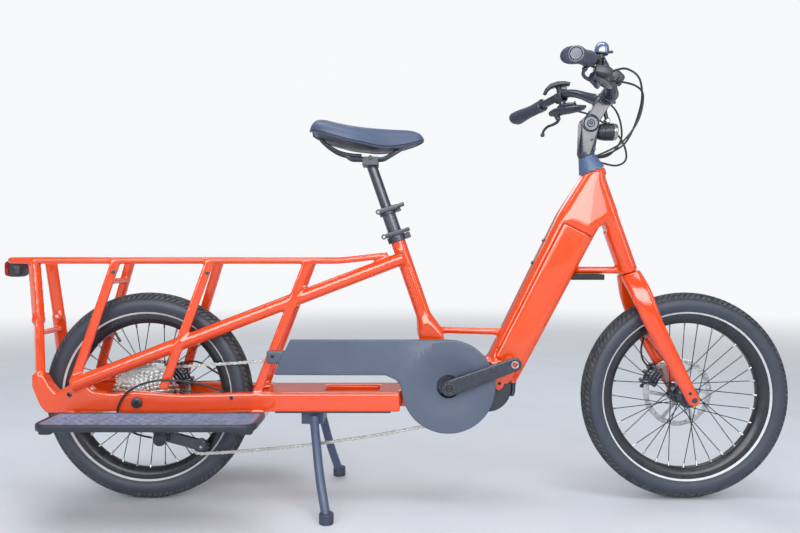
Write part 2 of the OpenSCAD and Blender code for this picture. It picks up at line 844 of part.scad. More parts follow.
module motor_cradle() {
    color("orangered") difference() {
        union() {
            slab([-cradle_w / 2, cradle_w / 2]) difference() {
                motor_line(cradle_t);
                motor_line(seat_gap);
                translate(bb + [cradle_cut[0], cradle_cut[1]]) square([4 * motor_r,
                    -cradle_cut[1] - motor_r / 2]);
            }
            both() slab([down_tube_w / 2, down_tube_w / 2 + ear_t]) polygon([for (p = ear_line) bb + p]);
        }
        tube_body();
    }
}

module motor() {
    color("dimgray") difference() {
        slab([motor_right, motor_left]) motor_line(0);
        cross_rod(bb, [-rear_hub_w, rear_hub_w], spindle_r + run_gap);
    }
}

module lower_rails() {
    color("orangered") both() difference() {
        translate([0, 0, rail_bottom_h]) linear_extrude(rail_h) polygon([
            [rail_front, rail_inner], [rail_front, rail_inner + rail_w], [rail_bend[0],
                rail_inner + rail_w],
            [rail_bend[1] + rail_end, tail_inner + dropout_t], [rail_bend[1] - rail_end,
                tail_inner + dropout_t],
            [rail_bend[1] - rail_end, tail_inner], [rail_bend[1], tail_inner], [rail_bend[0],
                rail_inner]]);
        tail_body();
        slab([0, rear_hub_w]) polygon([[rail_bend[1], rail_bottom_h], [rail_bend[1] + rail_end,
            rail_bottom_h + rail_h],
            [rail_bend[1] - 2 * rail_end, rail_bottom_h + rail_h + overrun],
            [rail_bend[1] - 2 * rail_end, rail_bottom_h - overrun]]);
    }
}

module tail_castings() {
    color("orangered") difference() {
        union() {
            tail_body();
            both() cross_rod(rear_axle, [tail_inner, tail_inner + dropout_t], boss_r);
        }
        cross_rod(rear_axle, [-rear_hub_w, rear_hub_w], axle_r);
    }
}

module rail_bridge() {
    color("orangered") {
        box(bridge_x, [-rail_inner, rail_inner], [rail_bottom_h + rail_h - bridge_t,
            rail_bottom_h + rail_h]);
        difference() {
            union() {
                box([yoke_x[0], rail_front], [-rail_inner, rail_inner],
                    [rail_bottom_h + rail_h - yoke_h, rail_bottom_h + rail_h]);
                box([rail_front, yoke_x[1]], [-yoke_tongue / 2, yoke_tongue / 2],
                    [rail_bottom_h + rail_h - yoke_h, rail_bottom_h + rail_h]);
            }
            slab([-cradle_w, cradle_w]) motor_line(cradle_t);
        }
    }
}

module seat_stays() {
    color("orangered") difference() {
        stays();
        seat_body(0);
        tail_body();
    }
}

module rack_line() {
    both() rod(at([rack_x[0] + rack_corner, rack_h], rack_w / 2), at([rack_x[1], rack_h], rack_w / 2),
        rack_d);
}

module rack_rails() {
    color("orangered") difference() {
        pipe(both_ways([at([rack_x[0], rack_h], rack_w / 2),
            at([rack_x[1], rack_h], rack_w / 2), at(rack_tip, rack_tip_y)]), rack_d, rack_corner,
                flat_ref);
        stays();
    }
}

module rack_struts() {
    color("orangered") difference() {
        union() {
            both() for (i = [0 : 2]) beam(at(strut_foot[i], strut_foot_y[i]),
                at([strut_top[i], rack_h], rack_w / 2), [strut_depth, strut_w]);
            rod(at(rung_high, -rack_w / 2), at(rung_high, rack_w / 2), rung_d);
        }
        rack_line();
        stays();
        tail_body();
        box([2 * rear_x, -2 * rear_x], [-rear_hub_w, rear_hub_w], [0, rail_bottom_h + rail_h]);
    }
}

module rear_posts() {
    color("orangered") difference() {
        union() {
            both() {
                beam(at(post_foot, post_foot_y), at(post_knee, (post_foot_y + post_top_y) / 2),
                    [post_depth, post_w]);
                beam(at(post_knee, (post_foot_y + post_top_y) / 2), at([post_top, rack_h], post_top_y),
                    [post_depth, post_w]);
                cross_rod(post_knee, [(post_foot_y + post_top_y - post_w) / 2,
                    (post_foot_y + post_top_y + post_w) / 2],
                    post_depth / 2);
            }
            rod(at(rung_low, -post_foot_y), at(rung_low, post_foot_y), rung_d);
        }
        rack_line();
        tail_body();
    }
}

module tail_lamp() {
    color("darkred") {
        box([-tail_l + rear_x, -tail_l + rear_x + lamp_size[0]], [-lamp_size[1] / 2, lamp_size[1] / 2],
            [lamp_z - lamp_size[2] / 2, lamp_z + lamp_size[2] / 2]);
        difference() {
            box([rack_x[0] - lamp_arm, rack_x[0] + lamp_arm], [-lamp_arm, lamp_arm], [lamp_z, rack_h]);
            rod([rack_x[0], -rack_w, rack_h], [rack_x[0], rack_w, rack_h], rack_d);
        }
    }
}

module board_line(g) {
    x = [board_x + g, board_x + board_l - g];
    y = [board_inner + g, board_inner + board_w - g];
    r = board_corner - g;
    translate([x[0], y[0]]) square([x[1] - x[0], y[1] - y[0] - r]);
    translate([x[0] + r, y[0]]) square([x[1] - x[0] - 2 * r, y[1] - y[0]]);
    for (i = [x[0] + r, x[1] - r]) translate([i, y[1] - r]) circle(r);
}

module footboards() {
    top = rail_bottom_h + board_plate;
    color("dimgray") both() difference() {
        translate([0, 0, top - board_h]) linear_extrude(board_h) board_line(0);
        translate([0, 0, top - board_h - board_plate]) linear_extrude(board_h) board_line(board_wall);
        for (x = lug_x) box([x - lug_w / 2, x + lug_w / 2], [0, lug_reach], [0, rail_bottom_h]);
    }
}

module board_lugs() {
    color("orangered") {
        box([lug_x[1] - lug_w / 2, lug_x[1] + lug_w / 2], [-lug_reach, lug_reach],
            [rail_bottom_h - lug_h, rail_bottom_h]);
        both() box([lug_x[0] - lug_w / 2, lug_x[0] + lug_w / 2], [lug_root, lug_reach],
            [rail_bottom_h - lug_h, rail_bottom_h]);
    }
}

module rail_strips() {
    color("black") both() difference() {
        box(strip_x, strip_y, [rail_bottom_h - strip_t, rail_bottom_h]);
        stand_block(seat_gap);
    }
}

module stand_block(g) {
    box([hanger_x[0] - g, hanger_x[1] + g], [-hanger_w / 2 - g, hanger_w / 2 + g], [hanger_low,
        rail_bottom_h]);
}

module stand_hanger() {
    color("black") difference() {
        stand_block(0);
        cross_rod(stand_pivot, [-stand_w, stand_w], stand_shaft_r + run_gap);
    }
}

module chain_guard() {
    color("dimgray") {
        difference() {
            slab(guard_y) guard_line(0);
            slab([guard_y[0] + guard_wall, guard_y[1] + overrun]) guard_line(guard_wall);
            cross_rod(bb, [guard_y[0] - overrun, guard_y[1] + overrun], guard_hole_r);
        }
        slab([guard_y[0] + guard_wall, guard_tab_y]) polygon([for (p = guard_tab) bb + p]);
        cross_rod(bb + guard_boss, [guard_y[0] + guard_wall, -seat_flare[1] / 2], guard_boss_r);
    }
}

module guard_line(g) {
    translate(bb) circle(guard_r - g);
    polygon([bb + guard_rear[0] + [g, -g], bb + guard_rear[1] + [g, g], bb + guard_rear[2] + [2 * g, g],
        bb + guard_neck[0] + [0, g], bb + guard_neck[1] + [g, g], bb + guard_neck[2] + [g, 0], bb,
            bb + [0, guard_r - g]]);
}

module changer_plate() {
    hull() {
        translate(round_ends[2][0]) circle(changer_plate_r);
        translate(round_ends[3][0]) circle(changer_plate_r);
    }
}

module rear_changer() {
    color("dimgray") {
        for (i = [-1, 1]) slab([rear_chain_y + i * changer_half - changer_t / 2,
            rear_chain_y + i * changer_half + changer_t / 2]) changer_plate();
        for (i = [2, 3]) cross_rod(round_ends[i][0], [rear_chain_y - changer_half,
            rear_chain_y + changer_half],
            pulley_r - chain_drop - chain_gap);
        cross_rod(round_ends[2][0], changer_y, changer_knuckle_r);
        difference() {
            rod(at(round_ends[2][0], changer_y[0] + changer_knuckle_r), at(rear_axle + hanger_off,
                -tail_inner + seat_gap),
                2 * hanger_boss_r);
            tail_body();
        }
        difference() {
            cross_rod(rear_axle + hanger_off, [-tail_inner - dropout_t / 2,
                -tail_inner + hanger_boss_r], hanger_boss_r);
            tail_body();
        }
    }
}

module chain() {
    color("silver") for (i = [0 : link_count - 1]) {
        a = chain_at(chain_total * i / link_count);
        b = chain_at(chain_total * (i + 1) / link_count);
        c = (a + b) / 2;
        l = norm(b - a) - chain_gap;
        w = i % 2 == 0 ? chain_wide : chain_narrow;
        translate(at(c, chain_y(c[0]))) rotate([90, 0, 0]) rotate(atan2(b[1] - a[1], b[0] - a[0]))
            linear_extrude(w, center = true) polygon([
                [l / 2, -chain_end / 2], [l / 2, chain_end / 2], [l / 2 - chain_shoulder, chain_h / 2],
                [chain_shoulder - l / 2, chain_h / 2], [-l / 2, chain_end / 2], [-l / 2, -chain_end / 2],
                [chain_shoulder - l / 2, -chain_h / 2], [l / 2 - chain_shoulder, -chain_h / 2]]);
    }
}

module rear_caliper() {
    color("black") difference() {
        union() {
            block(at(rear_axle + rear_caliper_off, rear_rotor_y), rear_caliper);
            translate(at(rear_axle + rear_caliper_off, rear_rotor_y))
                translate([rear_caliper[0] / 2 - caliper_foot[0], caliper_slot,
                    -rear_caliper[2] / 2 - caliper_sink])
                cube([caliper_foot[0], tail_inner + dropout_t - rear_rotor_y - caliper_slot,
                    caliper_foot[1] + caliper_sink]);
        }
        cross_rod(rear_axle, [rear_rotor_y - caliper_slot / 2, rear_rotor_y + caliper_slot / 2],
            rotor_d / 2 + caliper_slot / 2);
        tail_body();
        box([2 * rear_x, -2 * rear_x], [tail_inner - seat_gap, 2 * rear_hub_w], [0,
            rail_bottom_h + rail_h]);
    }
}

module rear_thru_axle() {
    color("black") {
        cross_rod(rear_axle, [-tail_inner - dropout_t - axle_head_t, tail_inner + dropout_t], axle_r);
        cross_rod(rear_axle, [-tail_inner - dropout_t - axle_head_t, -tail_inner - dropout_t],
            axle_head_r);
    }
}

module seat_collar() {
    color("black") collar(seat_tube_l, seat_tube_d / 2 + run_gap);
}

module collar(s, r) {
    difference() {
        union() {
            rod(at(seat(s - collar_h, 0), 0), at(seat(s, 0), 0), 2 * (r + collar_t));
            along(at(seat(s - collar_h, 0), 0), at(seat(s, 0), 0)) translate([-r - collar_lug[0],
                -collar_lug[1] / 2, 0])
                cube([collar_lug[0], collar_lug[1], collar_h]);
            along(at(seat(s - collar_h, 0), 0), at(seat(s, 0), 0))
                translate([-r - collar_lug[0], -collar_lug[1] / 2 - collar_lever[0], 0])
                cube([collar_lever[1], collar_lever[0], collar_h]);
        }
        rod(at(seat(s - 2 * collar_h, 0), 0), at(seat(s + collar_h, 0), 0), 2 * r);
    }
}

// stand
module stand_legs() {
    color("black") {
        cross_rod(stand_pivot, [-stand_root_y, stand_root_y], stand_shaft_r);
        both() leg_line();
    }
}

module leg_line() {
    pipe([at(stand_pivot, stand_root_y) + [0, 0, stand_root_up], at(stand_knee, stand_knee_y),
        [stand_foot_x, stand_w / 2, foot_h / 2]], stand_d, stand_bend, fore_ref);
}

module stand_feet() {
    color("black") both() difference() {
        translate([stand_foot_x, stand_w / 2, 0]) cylinder(h = foot_h, d = foot_d);
        leg_line();
    }
}

// seat posts and saddle
module lower_post() {
    color("black") difference() {
        rod(at(seat(lower_post_s[0], 0), 0), at(seat(lower_post_s[1], 0), 0), lower_post_d);
        rod(at(seat(motor_r, 0), 0), at(seat(2 * seat_tube_l, 0), 0), upper_post_d + 2 * run_gap);
    }
}

module post_collar() {
    color("black") collar(lower_post_s[1], lower_post_d / 2 + run_gap);
}

module upper_post() {
    color("black") difference() {
        union() {
            rod(at(seat(upper_post_s[0], 0), 0), at(seat(upper_post_s[1], 0), 0), upper_post_d);
            block(at(seat(upper_post_s[1], 0), 0), post_head);
        }
        saddle_wires();
    }
}

module saddle_wires() {
    both() pipe(wire_path, wire_d, wire_bend, side_ref);
}

module saddle_rails() {
    color("gray") difference() {
        saddle_wires();
        saddle_body();
    }
}

module saddle_body() {
    n = len(saddle_top);
    m = saddle_sides;
    tip = seat(upper_post_s[1], 0);
    polyhedron([for (i = [0 : n - 1]) for (k = [0 : m - 1]) at(tip,
        0) + [saddle_back + saddle_l * saddle_long_shares[i],
        saddle_w * saddle_wide_shares[i] * cos(360 * k / m),
        (saddle_top[i] + saddle_under[i]) / 2 + (saddle_top[i] - saddle_under[i]) / 2 * sin(360
            * k / m)]],
        concat([[for (k = [0 : m - 1]) k], [for (k = [m - 1 : -1 : 0]) (n - 1) * m + k]],
        [for (i = [0 : n - 2]) for (k = [0 : m - 1])
            [i * m + k, (i + 1) * m + k, (i + 1) * m + (k + 1) % m, i * m + (k + 1) % m]]));
}

module saddle() {
    color("dimgray") saddle_body();
}

// cranks
module crank_arms() {
    color("black") {
        cross_rod(bb, [-arm_y[1], arm_y[1]], spindle_r);
        for (s = [-1, 1]) difference() {
            slab(s < 0 ? [-arm_y[1], -arm_y[0]] : arm_y) translate(bb) rotate(crank_angle
                + (s < 0 ? 0 : 180)) {
                circle(arm_root_r);
                translate([crank_l, 0]) circle(arm_tip_r);
                polygon([[0, -arm_waist[0]], [crank_l, -arm_waist[1]], [crank_l, arm_waist[1]], [0,
                    arm_waist[0]]]);
            }
            translate(at(bb + (s < 0 ? 1 : -1) * crank_l * [cos(crank_angle), sin(crank_angle)],
                0)) rotate([90, 0, 0])
                cylinder(h = 2 * rear_hub_w, r = pedal_hole_r, center = true);
        }
    }
}

module chainring() {
    color("dimgray") difference() {
        union() {
            cross_rod(bb, [front_chain_y - ring_t / 2, front_chain_y + ring_t / 2],
                pitch_r(ring_teeth) - chain_drop);
            cross_rod(bb, [front_chain_y - 3 * ring_t, front_chain_y], spider_r);
        }
        cross_rod(bb, [-rear_hub_w, rear_hub_w], spindle_r);
        for (i = [0 : ring_cuts - 1]) translate(at(bb + ring_cut_at * [cos(360 * i / ring_cuts),
            sin(360 * i / ring_cuts)], 0))
            rotate([90, 0, 0]) cylinder(h = rear_hub_w, r = ring_cut_r, center = true);
    }
}

// wheels
module front_tyre() {
    color("black") tyre(front_axle);
}

module rear_tyre() {
    color("black") tyre(rear_axle);
}

module front_rim() {
    color("black") rim(front_axle);
}

module rear_rim() {
    color("black") rim(rear_axle);
}

module front_spokes() {
    color("black") spokes(front_axle, front_flange_r, [-front_flange_y, front_flange_y]);
}

module rear_spokes() {
    color("black") spokes(rear_axle, rear_flange_r, rear_flange_y);
}

module front_hub() {
    color("black") hub(front_axle, front_hub_w, front_flange_r, [-front_flange_y, front_flange_y]);
}

module rear_hub() {
    color("black") hub(rear_axle, rear_hub_w, rear_flange_r, rear_flange_y);
}

module front_rotor() {
    color("silver") rotor(front_axle, front_rotor_y);
}

module rear_rotor() {
    color("silver") rotor(rear_axle, rear_rotor_y);
}

module cassette() {
    color("silver") difference() {
        union() {
            for (i = [0 : len(cassette_teeth) - 1]) cross_rod(rear_axle,
                [rear_chain_y - (i - cog_carrier) * cog_step - cog_t / 2,
                    rear_chain_y - (i - cog_carrier) * cog_step + cog_t / 2],
                pitch_r(cassette_teeth[i]) + (i == cog_carrier ? -chain_drop : cog_tip));
            cross_rod(rear_axle, [rear_chain_y - (len(cassette_teeth) - 1 - cog_carrier) * cog_step,
                rear_chain_y + cog_carrier * cog_step], cog_core_r);
        }
        cross_rod(rear_axle, [-rear_hub_w, rear_hub_w], hub_cap_r + seat_gap);
    }
}

// steering
module fork() {
    color("orangered") {
        difference() {
            union() {
                rod(at(steer(crown_s - leg_slice, 0), 0), at(steer(head_s + cone_h, 0), 0),
                    2 * steerer_r);
                hull() {
                    along(at(steer(crown_s - seat_gap, 0), 0), at(steer(0, 0),
                        0)) linear_extrude(leg_slice) {
                        square([head_depth, head_w - head_depth], center = true);
                        for (j = [-1, 1]) translate([0, j * (head_w - head_depth) / 2])
                            circle(d = head_depth, $fn = 24);
                    }
                    along(at(steer(crown_s - crown_drop, 0), 0), at(steer(0, 0),
                        0)) linear_extrude(leg_slice)
                        rounded([crown_depth, 2 * crown_knee_y + leg_w], leg_w / 2, $fn = 24);
                }
                both() {
                    hull() {
                        along(at(steer(crown_s - crown_drop, 0), crown_knee_y), at(steer(0, 0),
                            crown_knee_y))
                            linear_extrude(leg_slice) rounded([crown_depth, leg_w], leg_w / 3, $fn = 24);
                        translate(at(front_axle + crown_knee, crown_knee_y)) rotate([90, 0, 0])
                            cylinder(h = leg_w, d = crown_depth - leg_slice, center = true, $fn = 32);
                    }
                    hull() {
                        translate(at(front_axle + crown_knee, crown_knee_y)) rotate([90, 0, 0])
                            cylinder(h = leg_w, d = crown_depth - leg_slice, center = true, $fn = 32);
                        translate(at(front_axle, leg_tip_y)) rotate([90, 0, 0])
                            cylinder(h = leg_tip_w, d = leg_tip_depth, center = true, $fn = 32);
                    }
                }
            }
            cross_rod(front_axle, [-front_hub_w, front_hub_w], axle_r);
        }
    }
}

module front_thru_axle() {
    color("black") cross_rod(front_axle, [-leg_tip_y - leg_tip_w / 2, leg_tip_y + leg_tip_w / 2], axle_r);
}

module front_caliper() {
    color("black") difference() {
        union() {
            block(at(front_axle + front_caliper_off, front_rotor_y), front_caliper);
            rod(at(front_axle + front_caliper_off, front_rotor_y + front_caliper[1] / 2),
                at(front_axle + caliper_root, leg_tip_y), caliper_foot[0]);
        }
        cross_rod(front_axle, [front_rotor_y - caliper_slot / 2, front_rotor_y + caliper_slot / 2],
            rotor_d / 2 + caliper_slot / 2);
        translate(at(front_axle, 0)) rotate([90, 0, 0]) cylinder(h = rear_hub_w, d = leg_tip_depth,
            center = true);
        leg_space();
    }
}

module leg_space() {
    hull() {
        translate(at(front_axle + crown_knee, crown_knee_y)) rotate([90, 0, 0])
            cylinder(h = leg_w, d = crown_depth - leg_slice, center = true, $fn = 32);
        translate(at(front_axle, leg_tip_y)) rotate([90, 0, 0])
            cylinder(h = leg_tip_w, d = leg_tip_depth, center = true, $fn = 32);
    }
}

module headset_cone() {
    color("dimgray") difference() {
        along(at(steer(head_s + seat_gap, 0), 0), at(steer(head_s + cone_h, 0), 0))
            cylinder(h = cone_h - seat_gap, d1 = head_top_d, d2 = cone_top_d);
        rod(at(steer(crown_s, 0), 0), at(steer(head_s + head_l, 0), 0), 2 * steerer_r);
    }
}

module stem() {
    color("black") {
        hull() {
            along(at(steer(head_s + cone_h, 0), 0), at(steer(head_s + head_l, 0), 0))
                cylinder(h = stem_foot_h, d = cone_top_d, $fn = 32);
            translate(at(stem_pivot, 0)) rotate([90, 0, 0]) cylinder(h = stem_w, r = stem_knuckle_r,
                center = true, $fn = 32);
        }
        difference() {
            union() {
                beam(at(stem_pivot, 0), at(bar_at, 0), [stem_arm_w, stem_arm_w]);
                cross_rod(bar_at, [-bar_clamp_w / 2, bar_clamp_w / 2], bar_clamp_r);
            }
            bar_middle(0);
        }
    }
}

module bar_part(g) {
    both() rod(bar_path[1], bar_path[2], bar_d + 2 * g);
}

module bar_middle(g) {
    cross_rod(bar_at, [-bar_mid_w / 2, bar_mid_w / 2], bar_mid_d / 2 + g);
}

module handlebar() {
    color("black") {
        pipe(both_ways(bar_path), bar_d, bar_bend, fore_ref);
        bar_middle(0);
    }
}

module grips() {
    p = bar_path[2];
    q = bar_path[3];
    v = unit(q - p);
    color("black") both() difference() {
        rod(q - (grip_l - bar_d / 2) * v, q + bar_d / 2 * v, grip_d);
        rod(q - 2 * grip_l * v, q, bar_d + 2 * seat_gap);
    }
}

module brake_levers() {
    v = unit(bar_path[2] - bar_path[1]);
    color("black") both() difference() {
        union() {
            rod(lever_clamp - lever_clamp_l / 2 * v, lever_clamp + lever_clamp_l / 2 * v, lever_clamp_d);
            rod(lever_clamp, lever_body, lever_body_d);
            pipe(lever_blade, lever_blade_d, lever_bend, fore_ref);
        }
        bar_part(seat_gap);
    }
}

module shifter() {
    difference() {
        union() {
            block(shifter_at, shifter_box);
            rod(shifter_at, [shifter_at[0] - shifter_box[0] / 2, shifter_at[1], bar_path[2][2]], bar_d);
        }
        bar_part(seat_gap);
    }
}

module remote() {
    difference() {
        union() {
            block(remote_at, remote_box);
            rod(remote_at, [remote_at[0] - remote_box[0] / 4, remote_at[1], bar_path[2][2]], bar_d);
        }
        bar_part(seat_gap);
    }
}

module bar_controls() {
    color("black") {
        shifter();
        remote();
    }
}

module display() {
    color("black") difference() {
        union() {
            block(display_at, display_box);
            rod(display_at, at(bar_at, 0), bar_d);
        }
        cross_rod(bar_at, [-bar_clamp_w, bar_clamp_w], bar_clamp_r + seat_gap);
        beam(at(stem_pivot, 0), at(bar_at, 0), [stem_arm_w, stem_arm_w]);
    }
}

module head_lamp() {
    color("black") difference() {
        union() {
            translate(at(lamp_at, 0) - [lamp_l / 2, 0, 0]) rotate([0, 90, 0]) cylinder(h = lamp_l,
                d = lamp_d);
            rod(at(lamp_at, 0), at(stem_pivot, 0), lamp_foot_d);
        }
        hull() {
            along(at(steer(head_s + cone_h, 0), 0), at(steer(head_s + head_l, 0), 0))
                cylinder(h = stem_foot_h, d = cone_top_d, $fn = 32);
            translate(at(stem_pivot, 0)) rotate([90, 0, 0]) cylinder(h = stem_w, r = stem_knuckle_r,
                center = true, $fn = 32);
        }
    }
}

module control_hoses() {
    color("black") difference() {
        for (p = bar_hoses) cord(smooth(p, hose_steps), hose_d, side_ref, hose_sides);
        along(at(steer(head_s + seat_gap, 0), 0), at(steer(head_s + cone_h, 0), 0))
            cylinder(h = cone_h - seat_gap, d1 = head_top_d, d2 = cone_top_d);
    }
}

module frame_hoses() {
    color("black") for (p = rail_hoses) cord(smooth(p, hose_steps), hose_d, hose_ref, hose_sides);
}

head_tube();
down_tube();
battery_cover();
mudguard_bracket();
seat_tube();
frame_braces();
motor_cradle();
motor();
lower_rails();
tail_castings();
rail_bridge();
seat_stays();
rack_rails();
rack_struts();
rear_posts();
tail_lamp();
footboards();
board_lugs();
rail_strips();
stand_hanger();
chain_guard();
rear_changer();
chain();
rear_caliper();
rear_thru_axle();
seat_collar();
stand_legs();
stand_feet();
lower_post();
post_collar();
upper_post();
saddle_rails();
saddle();
crank_arms();
chainring();
front_tyre();
rear_tyre();
front_rim();
rear_rim();
front_spokes();
rear_spokes();
front_hub();
rear_hub();
front_rotor();
rear_rotor();
cassette();
fork();
front_thru_axle();
front_caliper();
headset_cone();
stem();
handlebar();
grips();
brake_levers();
bar_controls();
display();
head_lamp();
control_hoses();
frame_hoses();
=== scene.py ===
import math

import bmesh
import bpy
import numpy as np
from mathutils import Matrix, Vector
from mathutils.bvhtree import BVHTree


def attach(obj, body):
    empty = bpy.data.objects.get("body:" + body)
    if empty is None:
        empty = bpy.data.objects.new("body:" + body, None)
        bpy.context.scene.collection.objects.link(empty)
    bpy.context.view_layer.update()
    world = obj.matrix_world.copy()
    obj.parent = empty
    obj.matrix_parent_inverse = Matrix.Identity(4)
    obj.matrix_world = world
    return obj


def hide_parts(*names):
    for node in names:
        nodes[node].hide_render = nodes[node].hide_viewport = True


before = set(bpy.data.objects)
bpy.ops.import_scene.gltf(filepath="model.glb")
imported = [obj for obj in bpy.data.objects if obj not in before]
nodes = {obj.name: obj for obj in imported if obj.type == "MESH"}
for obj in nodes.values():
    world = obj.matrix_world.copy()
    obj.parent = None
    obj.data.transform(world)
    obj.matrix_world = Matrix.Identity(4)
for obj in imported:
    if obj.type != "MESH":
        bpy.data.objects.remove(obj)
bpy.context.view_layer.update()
mm = 0.001


def lin(r, g, b):
    # a colour as it is seen on screen, as the linear numbers that a shader takes
    def one(v):
        v = v / 255
        return v / 12.92 if v <= 0.04045 else ((v + 0.055) / 1.055) ** 2.4
    return (one(r), one(g), one(b), 1.0)


def pt(x, y, z):
    return Vector((x * mm, y * mm, z * mm))


def polar(r, a):
    return r * math.cos(a), r * math.sin(a)


def around(centre, r, a, y=0.0):
    # a point at radius r from the cross axis through centre
    return centre + pt(r * math.cos(a), y, r * math.sin(a))


def ease(t):
    # slow at both ends
    t = np.clip(t, 0, 1)
    return t * t * (3 - 2 * t)


def squared(v, power):
    # rounds a circle's sine or cosine towards a square
    return math.copysign(abs(v) ** power, v)


def addObject(name, mesh):
    obj = bpy.data.objects.new(name, mesh)
    bpy.context.scene.collection.objects.link(obj)
    return obj


def flatten(obj):
    # swaps an object with modifiers, or a curve, for the plain mesh it makes
    bpy.context.view_layer.update()
    graph = bpy.context.evaluated_depsgraph_get()
    done = bpy.data.meshes.new_from_object(obj.evaluated_get(graph))
    name = obj.name
    bpy.data.objects.remove(obj)
    done.name = name
    return addObject(name, done)


def shade(mesh, angle):
    mesh.shade_smooth()
    if angle < 180:
        mesh.set_sharp_from_angle(angle=math.radians(angle))


def settle(obj, body, finishes, replaced=(), angle=None):
    # last step of every piece: its finishes, shading, body and the nodes it stands for
    for finish in finishes if isinstance(finishes, (list, tuple)) else [finishes]:
        obj.data.materials.append(finish)
    if angle is not None:
        shade(obj.data, angle)
    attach(obj, body)
    if replaced:
        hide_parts(*replaced)
    return obj


def meshOf(name, verts, faces, indices=None):
    mesh = bpy.data.meshes.new(name)
    mesh.from_pydata([tuple(v) for v in verts], [], faces)
    if indices is not None:
        mesh.polygons.foreach_set("material_index", indices)
    mesh.update()
    return mesh


def faceOut(mesh):
    bm = bmesh.new()
    bm.from_mesh(mesh)
    bmesh.ops.recalc_face_normals(bm, faces=bm.faces)
    bm.to_mesh(mesh)
    bm.free()
    mesh.update()


def gather(name, parts):
    # one mesh out of several (mesh, matrix, material index) parts
    bm = bmesh.new()
    for mesh, matrix, index in parts:
        before = len(bm.faces)
        bm.from_mesh(mesh)
        bm.verts.ensure_lookup_table()
        bm.faces.ensure_lookup_table()
        new = bm.faces[before:]
        if index is not None:
            for face in new:
                face.material_index = index
        if matrix is not None:
            bmesh.ops.transform(bm, matrix=matrix, verts=list({v for face in new for v in face.verts}))
    mesh = bpy.data.meshes.new(name)
    bm.to_mesh(mesh)
    bm.free()
    return mesh


def assemble(name, parts, body, finishes, replaced, angle):
    return settle(addObject(name, gather(name, parts)), body, finishes, replaced, angle)


def bands(rows, n):
    # the faces of a skin through rows of n points, with both ends closed
    faces = [(i * n + k, i * n + (k + 1) % n, (i + 1) * n + (k + 1) % n, (i + 1) * n + k)
             for i in range(rows - 1) for k in range(n)]
    return faces + [tuple(range(n - 1, -1, -1)), tuple((rows - 1) * n + k for k in range(n))]


def lathe(profile, centre, steps, closed=False, indices=None, axis="Y"):
    # turns (radius, offset) pairs about an axis through centre, all in millimetres
    verts, faces, marks = [], [], []
    n = len(profile)
    for i in range(steps):
        for r, o in profile:
            u, v = polar(r, 2 * math.pi * i / steps)
            verts.append(centre + pt(*{"X": (o, u, v), "Y": (u, o, v), "Z": (u, v, o)}[axis]))
    rows = n if closed else n - 1
    for i in range(steps):
        j = (i + 1) % steps
        for k in range(rows):
            m = (k + 1) % n
            faces.append((i * n + k, i * n + m, j * n + m, j * n + k))
            marks.append(indices[k] if indices else 0)
    if not closed:
        faces.append(tuple(i * n for i in range(steps)))
        faces.append(tuple(i * n + n - 1 for i in range(steps - 1, -1, -1)))
        marks += [marks[0], marks[rows - 1]]
    return verts, faces, marks


def turned(name, profile, centre, steps, closed=False, indices=None, axis="Y"):
    mesh = meshOf(name, *lathe(profile, centre, steps, closed, indices, axis))
    faceOut(mesh)
    return mesh


def aimed(start, way):
    # a matrix that takes Z to the given way, at start
    return Matrix.Translation(start) @ Vector(way).to_track_quat("Z", "Y").to_matrix().to_4x4()


def turnedAlong(name, profile, start, way, steps, closed=False, indices=None):
    mesh = turned(name, profile, Vector(), steps, closed, indices, "Z")
    mesh.transform(aimed(start, way))
    return mesh


def plate(name, outlines, thickness, edge=0.0, steps=1):
    # a flat plate in X and Z with holes, centred on Y = 0; outlines in millimetres
    curve = bpy.data.curves.new(name, "CURVE")
    curve.dimensions = "2D"
    curve.fill_mode = "BOTH"
    curve.extrude = (thickness / 2 - edge) * mm
    curve.bevel_depth = edge * mm
    curve.bevel_resolution = steps
    for line in outlines:
        spline = curve.splines.new("POLY")
        spline.points.add(len(line) - 1)
        for point, (x, z) in zip(spline.points, line):
            point.co = (x * mm, z * mm, 0, 1)
        spline.use_cyclic_u = True
    obj = flatten(addObject(name, curve))
    mesh = obj.data
    bpy.data.objects.remove(obj)
    mesh.transform(Matrix.Rotation(math.radians(90), 4, "X"))
    bm = bmesh.new()
    bm.from_mesh(mesh)
    bmesh.ops.remove_doubles(bm, verts=bm.verts, dist=1e-6)
    bmesh.ops.recalc_face_normals(bm, faces=bm.faces)
    bm.to_mesh(mesh)
    bm.free()
    return mesh


def ring(r, count, centre=(0, 0)):
    turns = (polar(r, 2 * math.pi * i / count) for i in range(count))
    return [(centre[0] + x, centre[1] + z) for x, z in turns]


def blendRows(rows, i, t):
    # smooth step between rows of numbers
    a, b, c, d = rows[max(i - 1, 0)], rows[i], rows[i + 1], rows[min(i + 2, len(rows) - 1)]
    return (2 * b + (c - a) * t + (2 * a - 5 * b + 4 * c - d) * t * t + (3 * b - a - 3 * c + d) * t ** 3) / 2


def smoothLine(points, n):
    # one smooth line through all the points, the same as the solids follow
    points = [Vector(p) for p in points]
    return [blendRows(points, i, j / n) for i in range(len(points) - 1) for j in range(n)] + [points[-1]]


def spread(values, n):
    return [p[0] for p in smoothLine([(v, 0) for v in values], n)]


def mirrored(points, s):
    return [(x, s * y, z) for x, y, z in points]


def softenLine(points, reach, steps=5):
    # rounds the corners of a line of points
    points = [Vector(p) for p in points]
    line = [points[0]]
    for a, b, c in zip(points, points[1:], points[2:]):
        p = b + reach * (a - b).normalized()
        q = b + reach * (c - b).normalized()
        for j in range(steps + 1):
            t = j / steps
            line.append(p * (1 - t) ** 2 + 2 * b * t * (1 - t) + q * t * t)
    return line + [points[-1]]


